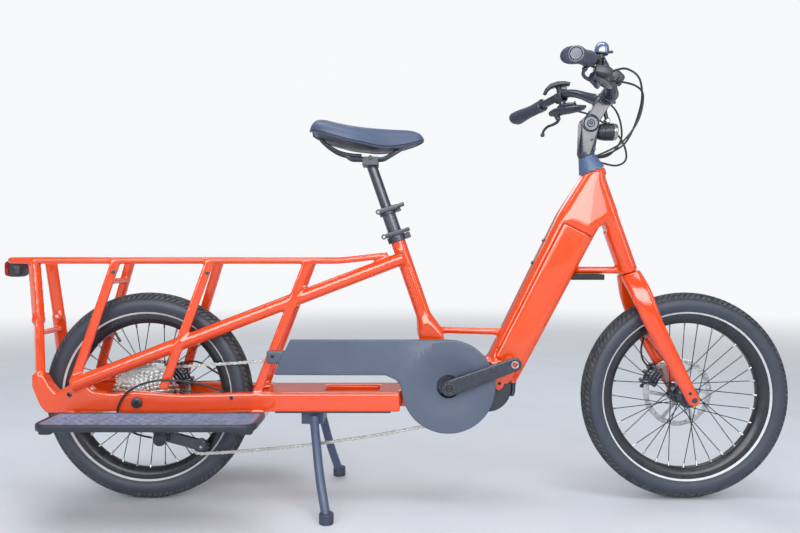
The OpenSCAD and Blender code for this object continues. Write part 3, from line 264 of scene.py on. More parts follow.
def sweep(name, line, radius, sides=12):
    # a round bar along a line of points in millimetres; radius is a number or one for each point
    line = [Vector(p) * mm for p in line]
    n = len(line)
    radii = [radius * mm] * n if isinstance(radius, (int, float)) else [r * mm for r in radius]
    ways = [(line[min(i + 1, n - 1)] - line[max(i - 1, 0)]).normalized() for i in range(n)]
    side = ways[0].orthogonal().normalized()
    verts = []
    for p, w, r in zip(line, ways, radii):
        side = (side - w * side.dot(w)).normalized()
        up = w.cross(side)
        for k in range(sides):
            a = 2 * math.pi * k / sides
            verts.append(p + (math.cos(a) * side + math.sin(a) * up) * r)
    return meshOf(name, verts, bands(n, sides))


def joinNodes(names):
    bm = bmesh.new()
    for n in names:
        bm.from_mesh(nodes[n].data)
    bmesh.ops.remove_doubles(bm, verts=bm.verts, dist=1e-6)
    mesh = bpy.data.meshes.new("joined")
    bm.to_mesh(mesh)
    bm.free()
    return mesh


def thinned(obj, share):
    obj.modifiers.new("thin", "DECIMATE").ratio = share
    return flatten(obj)


def melt(name, source, voxel, passes, keep=1.0):
    # remeshes solids into one skin and relaxes it, so that edges and welds round over
    obj = addObject(name, joinNodes(source) if isinstance(source, (list, tuple)) else source)
    skin = obj.modifiers.new("skin", "REMESH")
    skin.mode = "VOXEL"
    skin.voxel_size = voxel * mm
    relax = obj.modifiers.new("relax", "SMOOTH")
    relax.factor = 0.5
    relax.iterations = passes
    obj = thinned(obj, keep) if keep < 1 else flatten(obj)
    obj.data.shade_smooth()
    return obj


def readVerts(mesh, what="co"):
    values = np.empty(len(mesh.vertices) * 3, np.float32)
    mesh.vertices.foreach_get(what, values)
    return values.reshape(-1, 3)


def writeVerts(mesh, values):
    mesh.vertices.foreach_set("co", values.ravel().astype(np.float32))
    mesh.update()


def evenOut(mesh, values, passes):
    # evens out three values for each vertex along the edges, each vertex with its own number of passes
    n = len(mesh.vertices)
    values = values.astype(np.float64)
    ends = np.empty(len(mesh.edges) * 2, np.int64)
    mesh.edges.foreach_get("vertices", ends)
    a, b = ends[0::2], ends[1::2]
    count = np.bincount(ends, minlength=n)[:, None]
    for k in range(int(math.ceil(passes.max()))):
        total = np.stack([np.bincount(a, values[b, i], n) + np.bincount(b, values[a, i],
                                                                        n) for i in range(3)], 1)
        values = values + 0.5 * np.clip(passes - k, 0, 1)[:, None] * (total / count - values)
    return values


def skinTree(mesh):
    return BVHTree.FromPolygons([v.co.copy() for v in mesh.vertices],
                                [tuple(p.vertices) for p in mesh.polygons])


def loft(name, rows, marks=None):
    # a closed skin through rows of points that all have the same count
    mesh = meshOf(name, [p for row in rows for p in row], bands(len(rows), len(rows[0])), marks)
    faceOut(mesh)
    return mesh


edgeRound = {"weld": 2e-6, "flat": 1.0, "sharp": 30.0, "segments": 2}


def crisp(name, source, width):
    # a copy of solids with a small round on every sharp edge
    mesh = joinNodes(source)
    flat, sharp = math.radians(edgeRound["flat"]), math.radians(edgeRound["sharp"])
    bm = bmesh.new()
    bm.from_mesh(mesh)
    bmesh.ops.remove_doubles(bm, verts=bm.verts, dist=edgeRound["weld"])
    bmesh.ops.dissolve_limit(bm, angle_limit=flat, verts=bm.verts, edges=bm.edges)
    edges = [e for e in bm.edges if len(e.link_faces) == 2 and e.calc_face_angle(0) > sharp]
    bmesh.ops.bevel(bm, geom=edges, offset=width * mm, offset_type="OFFSET", segments=edgeRound["segments"],
                    profile=0.5, affect="EDGES", clamp_overlap=True)
    bmesh.ops.triangulate(bm, faces=[f for f in bm.faces if len(f.verts) > 4])
    bmesh.ops.recalc_face_normals(bm, faces=bm.faces)
    bm.to_mesh(mesh)
    bm.free()
    mesh.name = name
    return addObject(name, mesh)


print("frame loaded:", len(nodes), "nodes")

# camera at the photograph's angle, soft light, pale floor
view = {"place": (0.008, -1.750, 0.632), "pitch": 1.3, "lens": 30.87, "sensor": 36.0}
camera = bpy.data.cameras.new("camera")
camera.lens = view["lens"]
camera.sensor_width = view["sensor"]
camera.clip_end = 60
cameraObject = addObject("camera", camera)
cameraObject.location = view["place"]
cameraObject.rotation_euler = (math.radians(90 - view["pitch"]), 0, 0)
bpy.context.scene.camera = cameraObject
bpy.context.scene.view_settings.view_transform = "Standard"


def softbox(name, place, aim, size, power, tint=(1, 1, 1)):
    lamp = bpy.data.lights.new(name, "AREA")
    lamp.shape = "RECTANGLE"
    lamp.size, lamp.size_y = size
    lamp.energy = power
    lamp.color = tint
    obj = bpy.data.objects.new(name, lamp)
    bpy.context.scene.collection.objects.link(obj)
    obj.location = place
    obj.rotation_euler = (Vector(aim) - Vector(place)).to_track_quat("-Z", "Y").to_euler()
    obj.visible_camera = False
    return obj


softbox("keyBox", (-0.3, -3.0, 1.86), (0, 0, 0.75), (4.8, 2.1), 72, (0.97, 0.985, 1.0))
softbox("skyBox", (-0.2, -0.3, 3.3), (0, 0, 0.4), (4.2, 1.0), 56, (0.96, 0.98, 1.0))
softbox("sideBox", (2.8, -1.5, 1.7), (0.3, 0, 0.5), (0.9, 1.7), 10)
softbox("backBox", (0.4, 2.8, 2.2), (0, 0, 0.5), (3.2, 1.4), 20)
# a card that only shows as a sheen
card = softbox("sheenCard", (0.2, -3.3, 1.95), (0.2, 0, 0.8), (5.4, 1.7), 120, (1.0, 0.97, 0.95))
card.visible_diffuse = False


def makeGroup(name, inputs, outputs):
    tree = bpy.data.node_groups.new(name, "ShaderNodeTree")
    for label, kind, value in inputs:
        socket = tree.interface.new_socket(label, in_out="INPUT", socket_type="NodeSocket" + kind)
        socket.default_value = value
    for label, kind in outputs:
        tree.interface.new_socket(label, in_out="OUTPUT", socket_type="NodeSocket" + kind)
    return tree, tree.nodes.new("NodeGroupInput"), tree.nodes.new("NodeGroupOutput")


def mathNode(tree, kind, a, b=None):
    node = tree.nodes.new("ShaderNodeMath")
    node.operation = kind
    for i, value in enumerate((a, b)):
        if value is None:
            continue
        if isinstance(value, (int, float)):
            node.inputs[i].default_value = value
        else:
            tree.links.new(value, node.inputs[i])
    return node.outputs[0]


def rangeNode(tree, value, low, high, toLow=0.0, toHigh=1.0):
    node = tree.nodes.new("ShaderNodeMapRange")
    tree.links.new(value, node.inputs["Value"])
    for label, v in (("From Min", low), ("From Max", high), ("To Min", toLow), ("To Max", toHigh)):
        if isinstance(v, (int, float)):
            node.inputs[label].default_value = v
        else:
            tree.links.new(v, node.inputs[label])
    return node.outputs[0]


def noiseNode(tree, coords, scale, detail=4.0, rough=0.55):
    node = tree.nodes.new("ShaderNodeTexNoise")
    tree.links.new(coords, node.inputs["Vector"])
    node.inputs["Detail"].default_value = detail
    node.inputs["Roughness"].default_value = rough
    if isinstance(scale, (int, float)):
        node.inputs["Scale"].default_value = scale
    else:
        tree.links.new(scale, node.inputs["Scale"])
    return node.outputs[0]


def objectCoords(tree):
    return tree.nodes.new("ShaderNodeTexCoord").outputs["Object"]


def mottleGroup():
    # slow blotches between two values, for roughness and shade
    tree, start, end = makeGroup("mottle",
                                 [("Scale", "Float", 30), ("Low", "Float", 0.3), ("High", "Float", 0.5)],
                                 [("Value", "Float")])
    noise = noiseNode(tree, objectCoords(tree), start.outputs["Scale"], 5)
    value = rangeNode(tree, noise, 0.34, 0.66, start.outputs["Low"], start.outputs["High"])
    tree.links.new(value, end.inputs["Value"])
    return tree


def grainGroup():
    # the pebbled skin of moulded plastic, rubber and powder coat
    tree, start, end = makeGroup("grain", [("Scale", "Float", 900), ("Pebble", "Float", 0.5)],
                                 [("Height", "Float")])
    coords = objectCoords(tree)
    fine = noiseNode(tree, coords, start.outputs["Scale"], 2)
    cells = tree.nodes.new("ShaderNodeTexVoronoi")
    cells.feature = "SMOOTH_F1"
    tree.links.new(coords, cells.inputs["Vector"])
    tree.links.new(start.outputs["Scale"], cells.inputs["Scale"])
    pebble = mathNode(tree, "MULTIPLY", cells.outputs["Distance"], start.outputs["Pebble"])
    tree.links.new(mathNode(tree, "ADD", fine, pebble), end.inputs["Height"])
    return tree


def dustGroup():
    # road dust: thick near the ground, thinner further up, in uneven patches
    tree, start, end = makeGroup("roadDust", [("Reach", "Float", 0.5), ("Amount", "Float", 0.3)],
                                 [("Mask", "Float")])
    coords = objectCoords(tree)
    split = tree.nodes.new("ShaderNodeSeparateXYZ")
    tree.links.new(coords, split.inputs[0])
    low = rangeNode(tree, split.outputs["Z"], start.outputs["Reach"], 0.0)
    patch = rangeNode(tree, noiseNode(tree, coords, 22.0, 6, 0.6), 0.38, 0.72)
    speck = rangeNode(tree, noiseNode(tree, coords, 320.0, 3, 0.6), 0.45, 0.75)
    both = mathNode(tree, "MULTIPLY", low,
                    mathNode(tree, "ADD", patch, mathNode(tree, "MULTIPLY", speck, 0.5)))
    mask = mathNode(tree, "MULTIPLY", both, start.outputs["Amount"])
    mask.node.use_clamp = True
    tree.links.new(mask, end.inputs["Mask"])
    return tree


def rubGroup():
    # worn outer edges, broken up so that they don't look drawn
    tree, start, end = makeGroup("edgeRub", [("Amount", "Float", 0.5), ("Scale", "Float", 60)],
                                 [("Mask", "Float")])
    shape = tree.nodes.new("ShaderNodeNewGeometry")
    edge = rangeNode(tree, shape.outputs["Pointiness"], 0.52, 0.62)
    broken = rangeNode(tree, noiseNode(tree, objectCoords(tree), start.outputs["Scale"], 5), 0.4, 0.62)
    mask = mathNode(tree, "MULTIPLY", mathNode(tree, "MULTIPLY", edge, broken), start.outputs["Amount"])
    mask.node.use_clamp = True
    tree.links.new(mask, end.inputs["Mask"])
    return tree


effects = {"mottle": mottleGroup(), "grain": grainGroup(), "dust": dustGroup(), "rub": rubGroup()}


def effect(tree, name, **values):
    node = tree.nodes.new("ShaderNodeGroup")
    node.node_tree = effects[name]
    for label, value in values.items():
        node.inputs[label.capitalize()].default_value = value
    return node.outputs[0]


def mixColour(tree, mask, a, b):
    node = tree.nodes.new("ShaderNodeMix")
    node.data_type = "RGBA"
    tree.links.new(mask, node.inputs["Factor"])
    for socket, value in ((node.inputs[6], a), (node.inputs[7], b)):
        if isinstance(value, tuple):
            socket.default_value = value
        else:
            tree.links.new(value, socket)
    return node.outputs[2]


roadDust = {"colour": lin(150, 146, 138), "dulls": 0.35}


def finish(name, colour, second, rough, mottle, metal=0.0, coat=0.0, grain=None, dust=None, rub=None,
           spec=0.5, sheen=0.0, coatIor=1.5):
    # colour and second are the two ends of a slow shade, rough is (low, high), grain is (scale, pebble,
    # depth in metres), dust is (reach up, amount), rub is (amount, scale, colour)
    material = bpy.data.materials.new(name)
    material.use_nodes = True
    tree = material.node_tree
    shader = tree.nodes["Principled BSDF"]
    link = tree.links.new
    blotch = effect(tree, "mottle", scale=mottle, low=0.0, high=1.0)
    base = mixColour(tree, blotch, lin(*colour), lin(*second))
    roughness = effect(tree, "mottle", scale=mottle * 2.3, low=rough[0], high=rough[1])
    if rub:
        base = mixColour(tree, effect(tree, "rub", amount=rub[0], scale=rub[1]), base, lin(*rub[2]))
    if dust:
        mask = effect(tree, "dust", reach=dust[0], amount=dust[1])
        base = mixColour(tree, mask, base, roadDust["colour"])
        roughness = mathNode(tree, "ADD", roughness, mathNode(tree, "MULTIPLY", mask, roadDust["dulls"]))
    link(base, shader.inputs["Base Color"])
    link(roughness, shader.inputs["Roughness"])
    for label, value in (("Metallic", metal), ("Specular IOR Level", spec), ("Coat Weight", coat),
                         ("Coat Roughness", 0.06), ("Coat IOR", coatIor), ("Sheen Weight", sheen)):
        shader.inputs[label].default_value = value
    if grain:
        bump = tree.nodes.new("ShaderNodeBump")
        bump.inputs["Distance"].default_value = grain[2]
        bump.inputs["Strength"].default_value = 1.0
        link(effect(tree, "grain", scale=grain[0], pebble=grain[1]), bump.inputs["Height"])
        link(bump.outputs[0], shader.inputs["Normal"])
    return material


def glass(name, colour, rough=0.03, through=1.0):
    material = bpy.data.materials.new(name)
    material.use_nodes = True
    tree = material.node_tree
    shader = tree.nodes["Principled BSDF"]
    deeper = tuple(c * 0.8 for c in colour[:3]) + (1.0,)
    tint = mixColour(tree, effect(tree, "mottle", scale=40, low=0.0, high=0.25), colour, deeper)
    tree.links.new(tint, shader.inputs["Base Color"])
    tree.links.new(effect(tree, "mottle", scale=90, low=rough, high=rough + 0.05), shader.inputs["Roughness"])
    shader.inputs["Transmission Weight"].default_value = through
    shader.inputs["IOR"].default_value = 1.49
    return material


paint = finish("orangeRedPaint", (255, 82, 6), (255, 74, 3), rough=(0.16, 0.24), mottle=9, coat=1.0,
               dust=(0.42, 0.05), rub=(0.2, 90, (255, 112, 60)), spec=0.35, coatIor=1.6)
coverPaint = finish("coverPaint", (255, 84, 7), (255, 76, 4), rough=(0.18, 0.26), mottle=11, coat=1.0,
                    spec=0.35, coatIor=1.6)
satinBlack = finish("satinBlack", (50, 58, 76), (42, 49, 64), rough=(0.2, 0.3), mottle=24, coat=0.35,
                    rub=(0.35, 120, (110, 120, 140)), spec=0.7)
anodBlack = finish("anodisedBlack", (66, 70, 80), (56, 60, 70), rough=(0.22, 0.32), mottle=30, metal=0.35,
                   rub=(0.5, 150, (150, 155, 166)), spec=0.7)
rimBlack = finish("rimBlack", (48, 52, 60), (40, 44, 51), rough=(0.24, 0.36), mottle=18, metal=0.2,
                  grain=(1800, 0.2, 0.00002), dust=(0.6, 0.08))
powderBlack = finish("powderCoatBlack", (78, 96, 128), (66, 82, 112), rough=(0.32, 0.44), mottle=20,
                     grain=(1100, 0.7, 0.00003), dust=(0.25, 0.12), rub=(0.4, 80, (134, 146, 168)))
guardPlastic = finish("guardPlastic", (92, 104, 126), (84, 95, 116), rough=(0.4, 0.5), mottle=7,
                      grain=(1300, 0.8, 0.00004), dust=(0.45, 0.08), rub=(0.2, 70, (126, 136, 156)))
darkPlastic = finish("darkPlastic", (50, 55, 66), (42, 46, 56), rough=(0.34, 0.46), mottle=26,
                     grain=(1500, 0.7, 0.00002), spec=0.6)
conePlastic = finish("conePlastic", (92, 114, 150), (82, 103, 138), rough=(0.38, 0.48), mottle=22,
                     grain=(1500, 0.6, 0.00003))
tyreRubber = finish("tyreRubber", (60, 69, 84), (53, 61, 75), rough=(0.46, 0.58), mottle=10,
                    grain=(1400, 0.5, 0.00004), dust=(0.62, 0.05))
treadRubber = finish("treadRubber", (58, 63, 72), (48, 52, 60), rough=(0.6, 0.74), mottle=40,
                     grain=(900, 0.6, 0.0001), dust=(0.9, 0.14), rub=(0.5, 60, (98, 102, 108)))
reflexBand = finish("reflexBand", (244, 246, 248), (232, 235, 238), rough=(0.35, 0.45), mottle=30,
                    grain=(3000, 0.8, 0.00003), dust=(0.62, 0.06))
spokeSteel = finish("spokeSteel", (58, 60, 66), (46, 48, 54), rough=(0.22, 0.32), mottle=60, metal=0.8)
nippleSteel = finish("nippleSteel", (206, 206, 206), (178, 178, 178), rough=(0.2, 0.34), mottle=120,
                     metal=1.0)
chainSteel = finish("chainSteel", (204, 202, 196), (158, 154, 146), rough=(0.24, 0.42), mottle=160, metal=1.0,
                    rub=(0.5, 300, (232, 231, 228)))
cogSteel = finish("cogSteel", (206, 206, 205), (170, 169, 166), rough=(0.22, 0.38), mottle=70, metal=1.0,
                  rub=(0.6, 220, (238, 238, 236)))
rotorSteel = finish("rotorSteel", (198, 199, 200), (172, 173, 175), rough=(0.26, 0.4), mottle=50, metal=1.0,
                    grain=(2600, 0.2, 0.00002))
boltSteel = finish("boltSteel", (70, 72, 76), (54, 56, 60), rough=(0.25, 0.4), mottle=140, metal=0.9,
                   rub=(0.7, 300, (176, 177, 178)))
brightSteel = finish("brightSteel", (198, 199, 201), (168, 169, 172), rough=(0.2, 0.34), mottle=120,
                     metal=1.0)
saddleSkin = finish("saddleSkin", (80, 96, 126), (70, 85, 112), rough=(0.4, 0.52), mottle=16,
                    grain=(620, 0.9, 0.0001), rub=(0.2, 50, (120, 134, 160)), sheen=0.1)
gripRubber = finish("gripRubber", (66, 76, 96), (56, 65, 83), rough=(0.46, 0.58), mottle=40,
                    grain=(1200, 0.9, 0.00006))
hoseBlack = finish("hoseBlack", (40, 42, 47), (33, 35, 39), rough=(0.36, 0.5), mottle=60,
                   grain=(1800, 0.3, 0.00002))
boardTop = finish("boardTop", (134, 146, 176), (114, 126, 154), rough=(0.4, 0.54), mottle=34,
                  grain=(700, 0.9, 0.00012), dust=(0.5, 0.08))
boardEdge = finish("boardEdge", (46, 54, 68), (38, 45, 58), rough=(0.34, 0.46), mottle=20,
                   grain=(1300, 0.6, 0.00003), dust=(0.4, 0.05))
chromeBlue = finish("chromeBlue", (150, 166, 200), (126, 142, 176), rough=(0.14, 0.24), mottle=30, metal=0.7)
lampShell = finish("lampShell", (58, 63, 72), (48, 52, 60), rough=(0.3, 0.4), mottle=26, metal=0.3,
                   grain=(1600, 0.4, 0.00003))
capGrey = finish("capGrey", (150, 154, 166), (132, 136, 148), rough=(0.4, 0.5), mottle=60,
                 grain=(1400, 0.8, 0.00004))
gapBlack = finish("gapBlack", (18, 18, 20), (14, 14, 16), rough=(0.6, 0.7), mottle=40)
lampLens = glass("lampLens", (0.95, 0.97, 1.0, 1))
redLens = glass("redLens", lin(214, 22, 20), rough=0.08, through=0.55)
screenGlass = finish("screenGlass", (24, 26, 32), (20, 22, 27), rough=(0.06, 0.12), mottle=20, coat=0.6)
print("finishes ready")

backdrop = (0.93, 0.945, 0.965, 1)
sky = {"low": (0.40, (0.42, 0.42, 0.43, 1)), "high": (0.62, (0.92, 0.95, 1.0, 1)), "strength": 0.34}


def makeSky():
    # pale light from above; the camera, also through glass, sees the backdrop instead
    world = bpy.data.worlds.new("sky")
    bpy.context.scene.world = world
    world.use_nodes = True
    tree = world.node_tree
    tree.nodes.clear()
    link = tree.links.new
    split = tree.nodes.new("ShaderNodeSeparateXYZ")
    link(tree.nodes.new("ShaderNodeTexCoord").outputs["Generated"], split.inputs[0])
    ramp = tree.nodes.new("ShaderNodeValToRGB")
    for stop, (place, colour) in zip(ramp.color_ramp.elements, (sky["low"], sky["high"])):
        stop.position, stop.color = place, colour
    link(rangeNode(tree, split.outputs["Z"], -1, 1), ramp.inputs[0])
    lit, seen = (tree.nodes.new("ShaderNodeBackground") for _ in range(2))
    lit.inputs["Strength"].default_value = sky["strength"]
    link(ramp.outputs[0], lit.inputs["Color"])
    seen.inputs["Color"].default_value = backdrop
    paths = tree.nodes.new("ShaderNodeLightPath").outputs
    pick = tree.nodes.new("ShaderNodeMixShader")
    link(mathNode(tree, "MAXIMUM", paths["Is Camera Ray"], paths["Is Transmission Ray"]), pick.inputs[0])
    link(lit.outputs[0], pick.inputs[1])
    link(seen.outputs[0], pick.inputs[2])
    link(pick.outputs[0], tree.nodes.new("ShaderNodeOutputWorld").inputs["Surface"])


makeSky()

floor = {"half": 30.0, "colours": ((224, 229, 236), (218, 224, 232)), "fade": (1.6, 6.5)}


def makeFloor():
    # pale floor that fades into the backdrop with distance from the bicycle
    h = floor["half"]
    mesh = meshOf("floor", [(-h, -h, 0), (h, -h, 0), (h, h, 0), (-h, h, 0)], [(0, 1, 2, 3)])
    obj = addObject("floor", mesh)
    material = finish("paleFloor", *floor["colours"], rough=(0.8, 0.9), mottle=3, grain=(160, 0.5, 0.0006))
    tree = material.node_tree
    link = tree.links.new
    length = tree.nodes.new("ShaderNodeVectorMath")
    length.operation = "LENGTH"
    link(objectCoords(tree), length.inputs[0])
    far = rangeNode(tree, length.outputs["Value"], floor["fade"][0], floor["fade"][1])
    far.node.interpolation_type = "SMOOTHSTEP"
    paths = tree.nodes.new("ShaderNodeLightPath")
    seen = mathNode(tree, "MAXIMUM", paths.outputs["Is Camera Ray"], paths.outputs["Is Glossy Ray"])
    glow = tree.nodes.new("ShaderNodeEmission")
    glow.inputs["Color"].default_value = backdrop
    blend = tree.nodes.new("ShaderNodeMixShader")
    link(mathNode(tree, "MULTIPLY", far, seen), blend.inputs[0])
    link(tree.nodes["Principled BSDF"].outputs[0], blend.inputs[1])
    link(glow.outputs[0], blend.inputs[2])
    link(blend.outputs[0], tree.nodes["Material Output"].inputs["Surface"])
    mesh.materials.append(material)


makeFloor()

# main points of the bicycle, in millimetres
rearAxle = pt(-631.5, 0, 263)
frontAxle = pt(734.5, 0, 263)
crankAxle = pt(127, 0, 298)
headTop = pt(495.64, 0, 834.48)

# hoses and cables come first: each runs from one place on the bicycle to another
hoses = {
    "rightBrakeHose": {"body": "steering", "node": "control_hoses", "d": 5.0, "from": "head", "points": [
        (-20.63, -157, 187.5), (24.37, -130, 195.5), (89.37, -66, 199.5), (117.37, -34, 181.5),
        (104.37, -36, 121.5), (62.37, -34, 65.5), (4.37, -10, 35.5)]},
    "leftBrakeHose": {"body": "steering", "node": "control_hoses", "d": 5.0, "from": "head", "points": [
        (-20.63, 157, 187.5), (34.37, 126, 165.5), (89.37, 70, 101.5), (96.37, 26, 39.5), (64.37, 8, 15.5),
        (9.37, 6, 27.5)]},
    "shiftCable": {"body": "steering", "node": "control_hoses", "d": 5.0, "from": "head", "points": [
        (-9.63, -200, 201.5), (34.37, -164, 215.5), (100.37, -60, 215.5), (126.37, 10, 165.5),
        (94.37, 34, 75.5), (9.37, 14, 33.5)]},
    "remoteCable": {"body": "steering", "node": "control_hoses", "d": 5.0, "from": "head", "points": [
        (-17.63, 200, 245.5), (24.37, 160, 233.5), (76.37, 70, 175.5), (88.37, 40, 95.5), (52.37, 22, 45.5),
        (4.37, 2, 33.5)]},
    "forkHose": {"body": "steering", "node": "control_hoses", "d": 5.0, "from": "front", "points": [
        (-79.5, 42.6, 162), (-93.5, 42, 122), (-91.5, 41.5, 87), (-72.5, 41, 62)]},
    "changerCable": {"body": "frame", "node": "frame_hoses", "d": 5.0, "from": "rear", "points": [
        (204.5, -66, 22.5), (148.5, -80, 44), (91.5, -94, 55), (32.5, -96.5, 52), (-20.5, -96, 27),
        (-45.5, -94.5, -15), (-36.5, -89, -49), (-8.5, -82, -77), (28.5, -70, -91)]},
    "rearBrakeHose": {"body": "frame", "node": "frame_hoses", "d": 5.0, "from": "rear", "points": [
        (191.5, 62, 22.5), (151.5, 58, 49), (111.5, 52, 75), (79.5, 47, 78), (65.5, 46, 67.5)]},
}


def makeHoses():
    starts = {"head": headTop, "front": frontAxle, "rear": rearAxle}
    for name, h in hoses.items():
        start = starts[h["from"]]
        points = [start / mm + Vector(p) for p in h["points"]]
        line = smoothLine(points, 8)
        mesh = sweep(name, line, h["d"] / 2, 14)
        obj = settle(addObject(name, mesh), h["body"], hoseBlack, [h["node"]], 60)


makeHoses()
print("hoses laid")

paintedFrame = {
    "frontFrame": ["head_tube", "down_tube", "frame_braces", "seat_tube", "motor_cradle"],
    "rearFrame": ["lower_rails", "tail_castings", "rail_bridge", "seat_stays", "board_lugs"],
    "rackFrame": ["rack_rails", "rack_struts", "rear_posts"],
}
# the last three numbers bound the motor's dark lip and the painted shade on the ends of the lugs under the
# boards
frameSkin = {"voxel": 1.9, "passes": (36, 16, 6), "blend": 6.0, "faces": 326000, "sheen": 7,
             "arch": (518.0, 684.0, 13.5), "darkFrom": 266.0, "lipAndShadeUnder": 301.0, "boardShadeOut": 150.0}


def makePaintedFrame():
    # the frame is welded, so it is skinned in one go and then parted into its three main groups
    f = frameSkin
    whole = melt("frameWhole", [n for group in paintedFrame.values() for n in group], f["voxel"], 1)
    roundArch(whole.data)
    near = groupDistances(whole.data)
    share = np.exp(-(near - near.min(1, keepdims=True)) / (f["blend"] * mm))
    passes = (share * np.array(f["passes"])).sum(1) / share.sum(1)
    writeVerts(whole.data, evenOut(whole.data, readVerts(whole.data), passes))
    count = sum(len(p.vertices) - 2 for p in whole.data.polygons)
    if count > f["faces"]:
        whole = thinned(whole, f["faces"] / count)
        near = groupDistances(whole.data)
    mesh = whole.data
    co = readVerts(mesh)
    normals = evenOut(mesh, readVerts(mesh, "normal"), np.full(len(mesh.vertices), f["sheen"]))
    normals /= np.linalg.norm(normals, axis=1, keepdims=True)
    polys = [tuple(p.vertices) for p in mesh.polygons]
    owner = [int(near[list(p)].sum(0).argmin()) for p in polys]
    for j, (name, group) in enumerate(paintedFrame.items()):
        mine = [p for p, o in zip(polys, owner) if o == j]
        used = sorted({v for p in mine for v in p})
        place = {v: i for i, v in enumerate(used)}
        x, y, z = (np.array([co[list(p)].mean(0) for p in mine]) / mm).T
        # the motor's lip is dark, and the ends of the lugs under the boards are painted dark as painted shade
        # under the boards
        lipAndBoardShade = ((x > f["darkFrom"]) | (abs(y) > f["boardShadeOut"])) & (z < f["lipAndShadeUnder"])
        part = meshOf(name, co[used], [tuple(place[v] for v in p) for p in mine], lipAndBoardShade.astype(int))
        part.shade_smooth()
        part.normals_split_custom_set_from_vertices([tuple(v) for v in normals[used]])
        settle(addObject(name, part), "frame", [paint, darkPlastic], group)
        print(name, len(mine), "faces")
    bpy.data.objects.remove(whole)


def roundArch(mesh):
    # the opening behind the head tube ends in a round arch
    x, z, r = (v * mm for v in frameSkin["arch"])
    for v in mesh.vertices:
        out = Vector((v.co.x - x, v.co.z - z))
        if 0 < out.length < r:
            out *= r / out.length
            v.co.x, v.co.z = x + out.x, z + out.y


def groupDistances(mesh):
    near = np.empty((len(mesh.vertices), len(paintedFrame)), np.float32)
    for j, group in enumerate(paintedFrame.values()):
        tree = skinTree(joinNodes(group))
        near[:, j] = [tree.find_nearest(v.co)[3] for v in mesh.vertices]
    return near


makePaintedFrame()

meltedPieces = [
    # piece, nodes, body, finish, voxel, passes, share kept, slot
    ("batteryCover", ["battery_cover"], "frame", coverPaint, 1.5, 6, 0.25, "frame_paint"),
    ("motorCase", ["motor"], "frame", darkPlastic, 1.8, 5, 0.25, "dark_plastic"),
    ("guardMount", ["mudguard_bracket"], "frame", gapBlack, 1.2, 3, 0.5, "black_metal"),
    ("standFeet", ["stand_feet"], "stand", gripRubber, 1.2, 4, 0.6, "soft_rubber"),
    ("stemBody", ["stem"], "steering", satinBlack, 1.1, 5, 0.3, "black_metal"),
    ("seatCollar", ["seat_collar"], "frame", anodBlack, 0.8, 3, 0.35, "black_metal"),
    ("postCollar", ["post_collar"], "lower_seat_post", anodBlack, 0.8, 3, 0.35, "black_metal"),
    ("upperPost", ["upper_post"], "upper_seat_post", satinBlack, 1.0, 4, 0.2, "black_metal"),
    ("changerBody", ["rear_changer"], "frame", satinBlack, 0.9, 4, 0.3, "black_metal"),
]

for name, source, body, skin, voxel, passes, kept, slot in meltedPieces:
    settle(melt(name, source, voxel, passes, kept), body, skin, source)
# the cradle on top of the post is darker than its tube
postHead = {"from": 842.0, "finish": darkPlastic}
postMesh = bpy.data.objects["upperPost"].data
postMesh.materials.append(postHead["finish"])
for face in postMesh.polygons:
    face.material_index = 1 if face.center.z > postHead["from"] * mm else 0

forkShape = {
    # X, Z, distance from the middle, depth, width
    "rows": [(589.5, 576.6, 17.5, 46, 30), (591.0, 572.5, 18.5, 48, 33), (595.5, 560.0, 24, 50, 40),
             (602.0, 542.5, 36, 51, 36), (608.5, 524.0, 46, 51, 29.5), (616.0, 502.0, 52.5, 50, 25),
             (625.5, 476.0, 55.5, 48, 22.6), (638.0, 448.0, 56.2, 45.5, 21.6), (656.0, 413.5, 56.8, 42, 20.6),
             (690.0, 348.5, 57.8, 36.5, 18.6), (714.0, 302.5, 58.3, 33.0, 17.4),
             (721.5, 288.0, 58.4, 32.2, 17.2)],
    "tip": (734.5, 263.0, 58.5, 16.0, 17.0), "capAt": (0, 4, 8, 11, 13.4, 15, 15.8), "sides": 40,
    "square": 2.7, "voxel": 1.5, "passes": 7}


def makeFork():
    f = forkShape
    tx, tz, ty, tr, tw = f["tip"]
    line = smoothLine(f["rows"], 4)
    way = Vector((tx - line[-1][0], tz - line[-1][1])).normalized()
    for d in f["capAt"]:
        line.append(Vector((tx + way[0] * d, tz + way[1] * d, ty, 2 * math.sqrt(tr * tr - d * d),
                            tw - 0.12 * d)))
    blades = []
    for side in (-1, 1):
        skins = []
        for i, (x, z, y, deep, wide) in enumerate(line):
            a, b = line[max(i - 1, 0)], line[min(i + 1, len(line) - 1)]
            run = Vector((b[0] - a[0], b[1] - a[1])).normalized()
            row = []
            for k in range(f["sides"]):
                c, s = polar(1, 2 * math.pi * k / f["sides"])
                u, v = squared(c, 2 / f["square"]) * deep / 2, squared(s, 2 / f["square"]) * wide / 2
                row.append(pt(x - run[1] * u, side * (y + v), z + run[0] * u))
            skins.append(row)
        blades.append((loft("blade", skins), None, 0))
    obj = melt("forkBlades", gather("forkBlades", blades), f["voxel"], f["passes"], 0.35)
    settle(obj, "steering", paint, ["fork"])


makeFork()

crispPieces = [
    # piece, nodes, body, finish, edge width, slot
    ("standHanger", ["stand_hanger"], "frame", powderBlack, 1.2, "black_metal"),
    ("standLegs", ["stand_legs"], "stand", powderBlack, 1.2, "black_metal"),
    ("railStrips", ["rail_strips"], "frame", darkPlastic, 0.8, "dark_plastic"),
    ("rearThruAxle", ["rear_thru_axle"], "frame", anodBlack, 1.2, "black_metal"),
    ("frontThruAxle", ["front_thru_axle"], "steering", anodBlack, 1.0, "black_metal"),
    ("headsetCone", ["headset_cone"], "steering", conePlastic, 1.5, "dark_plastic"),
]

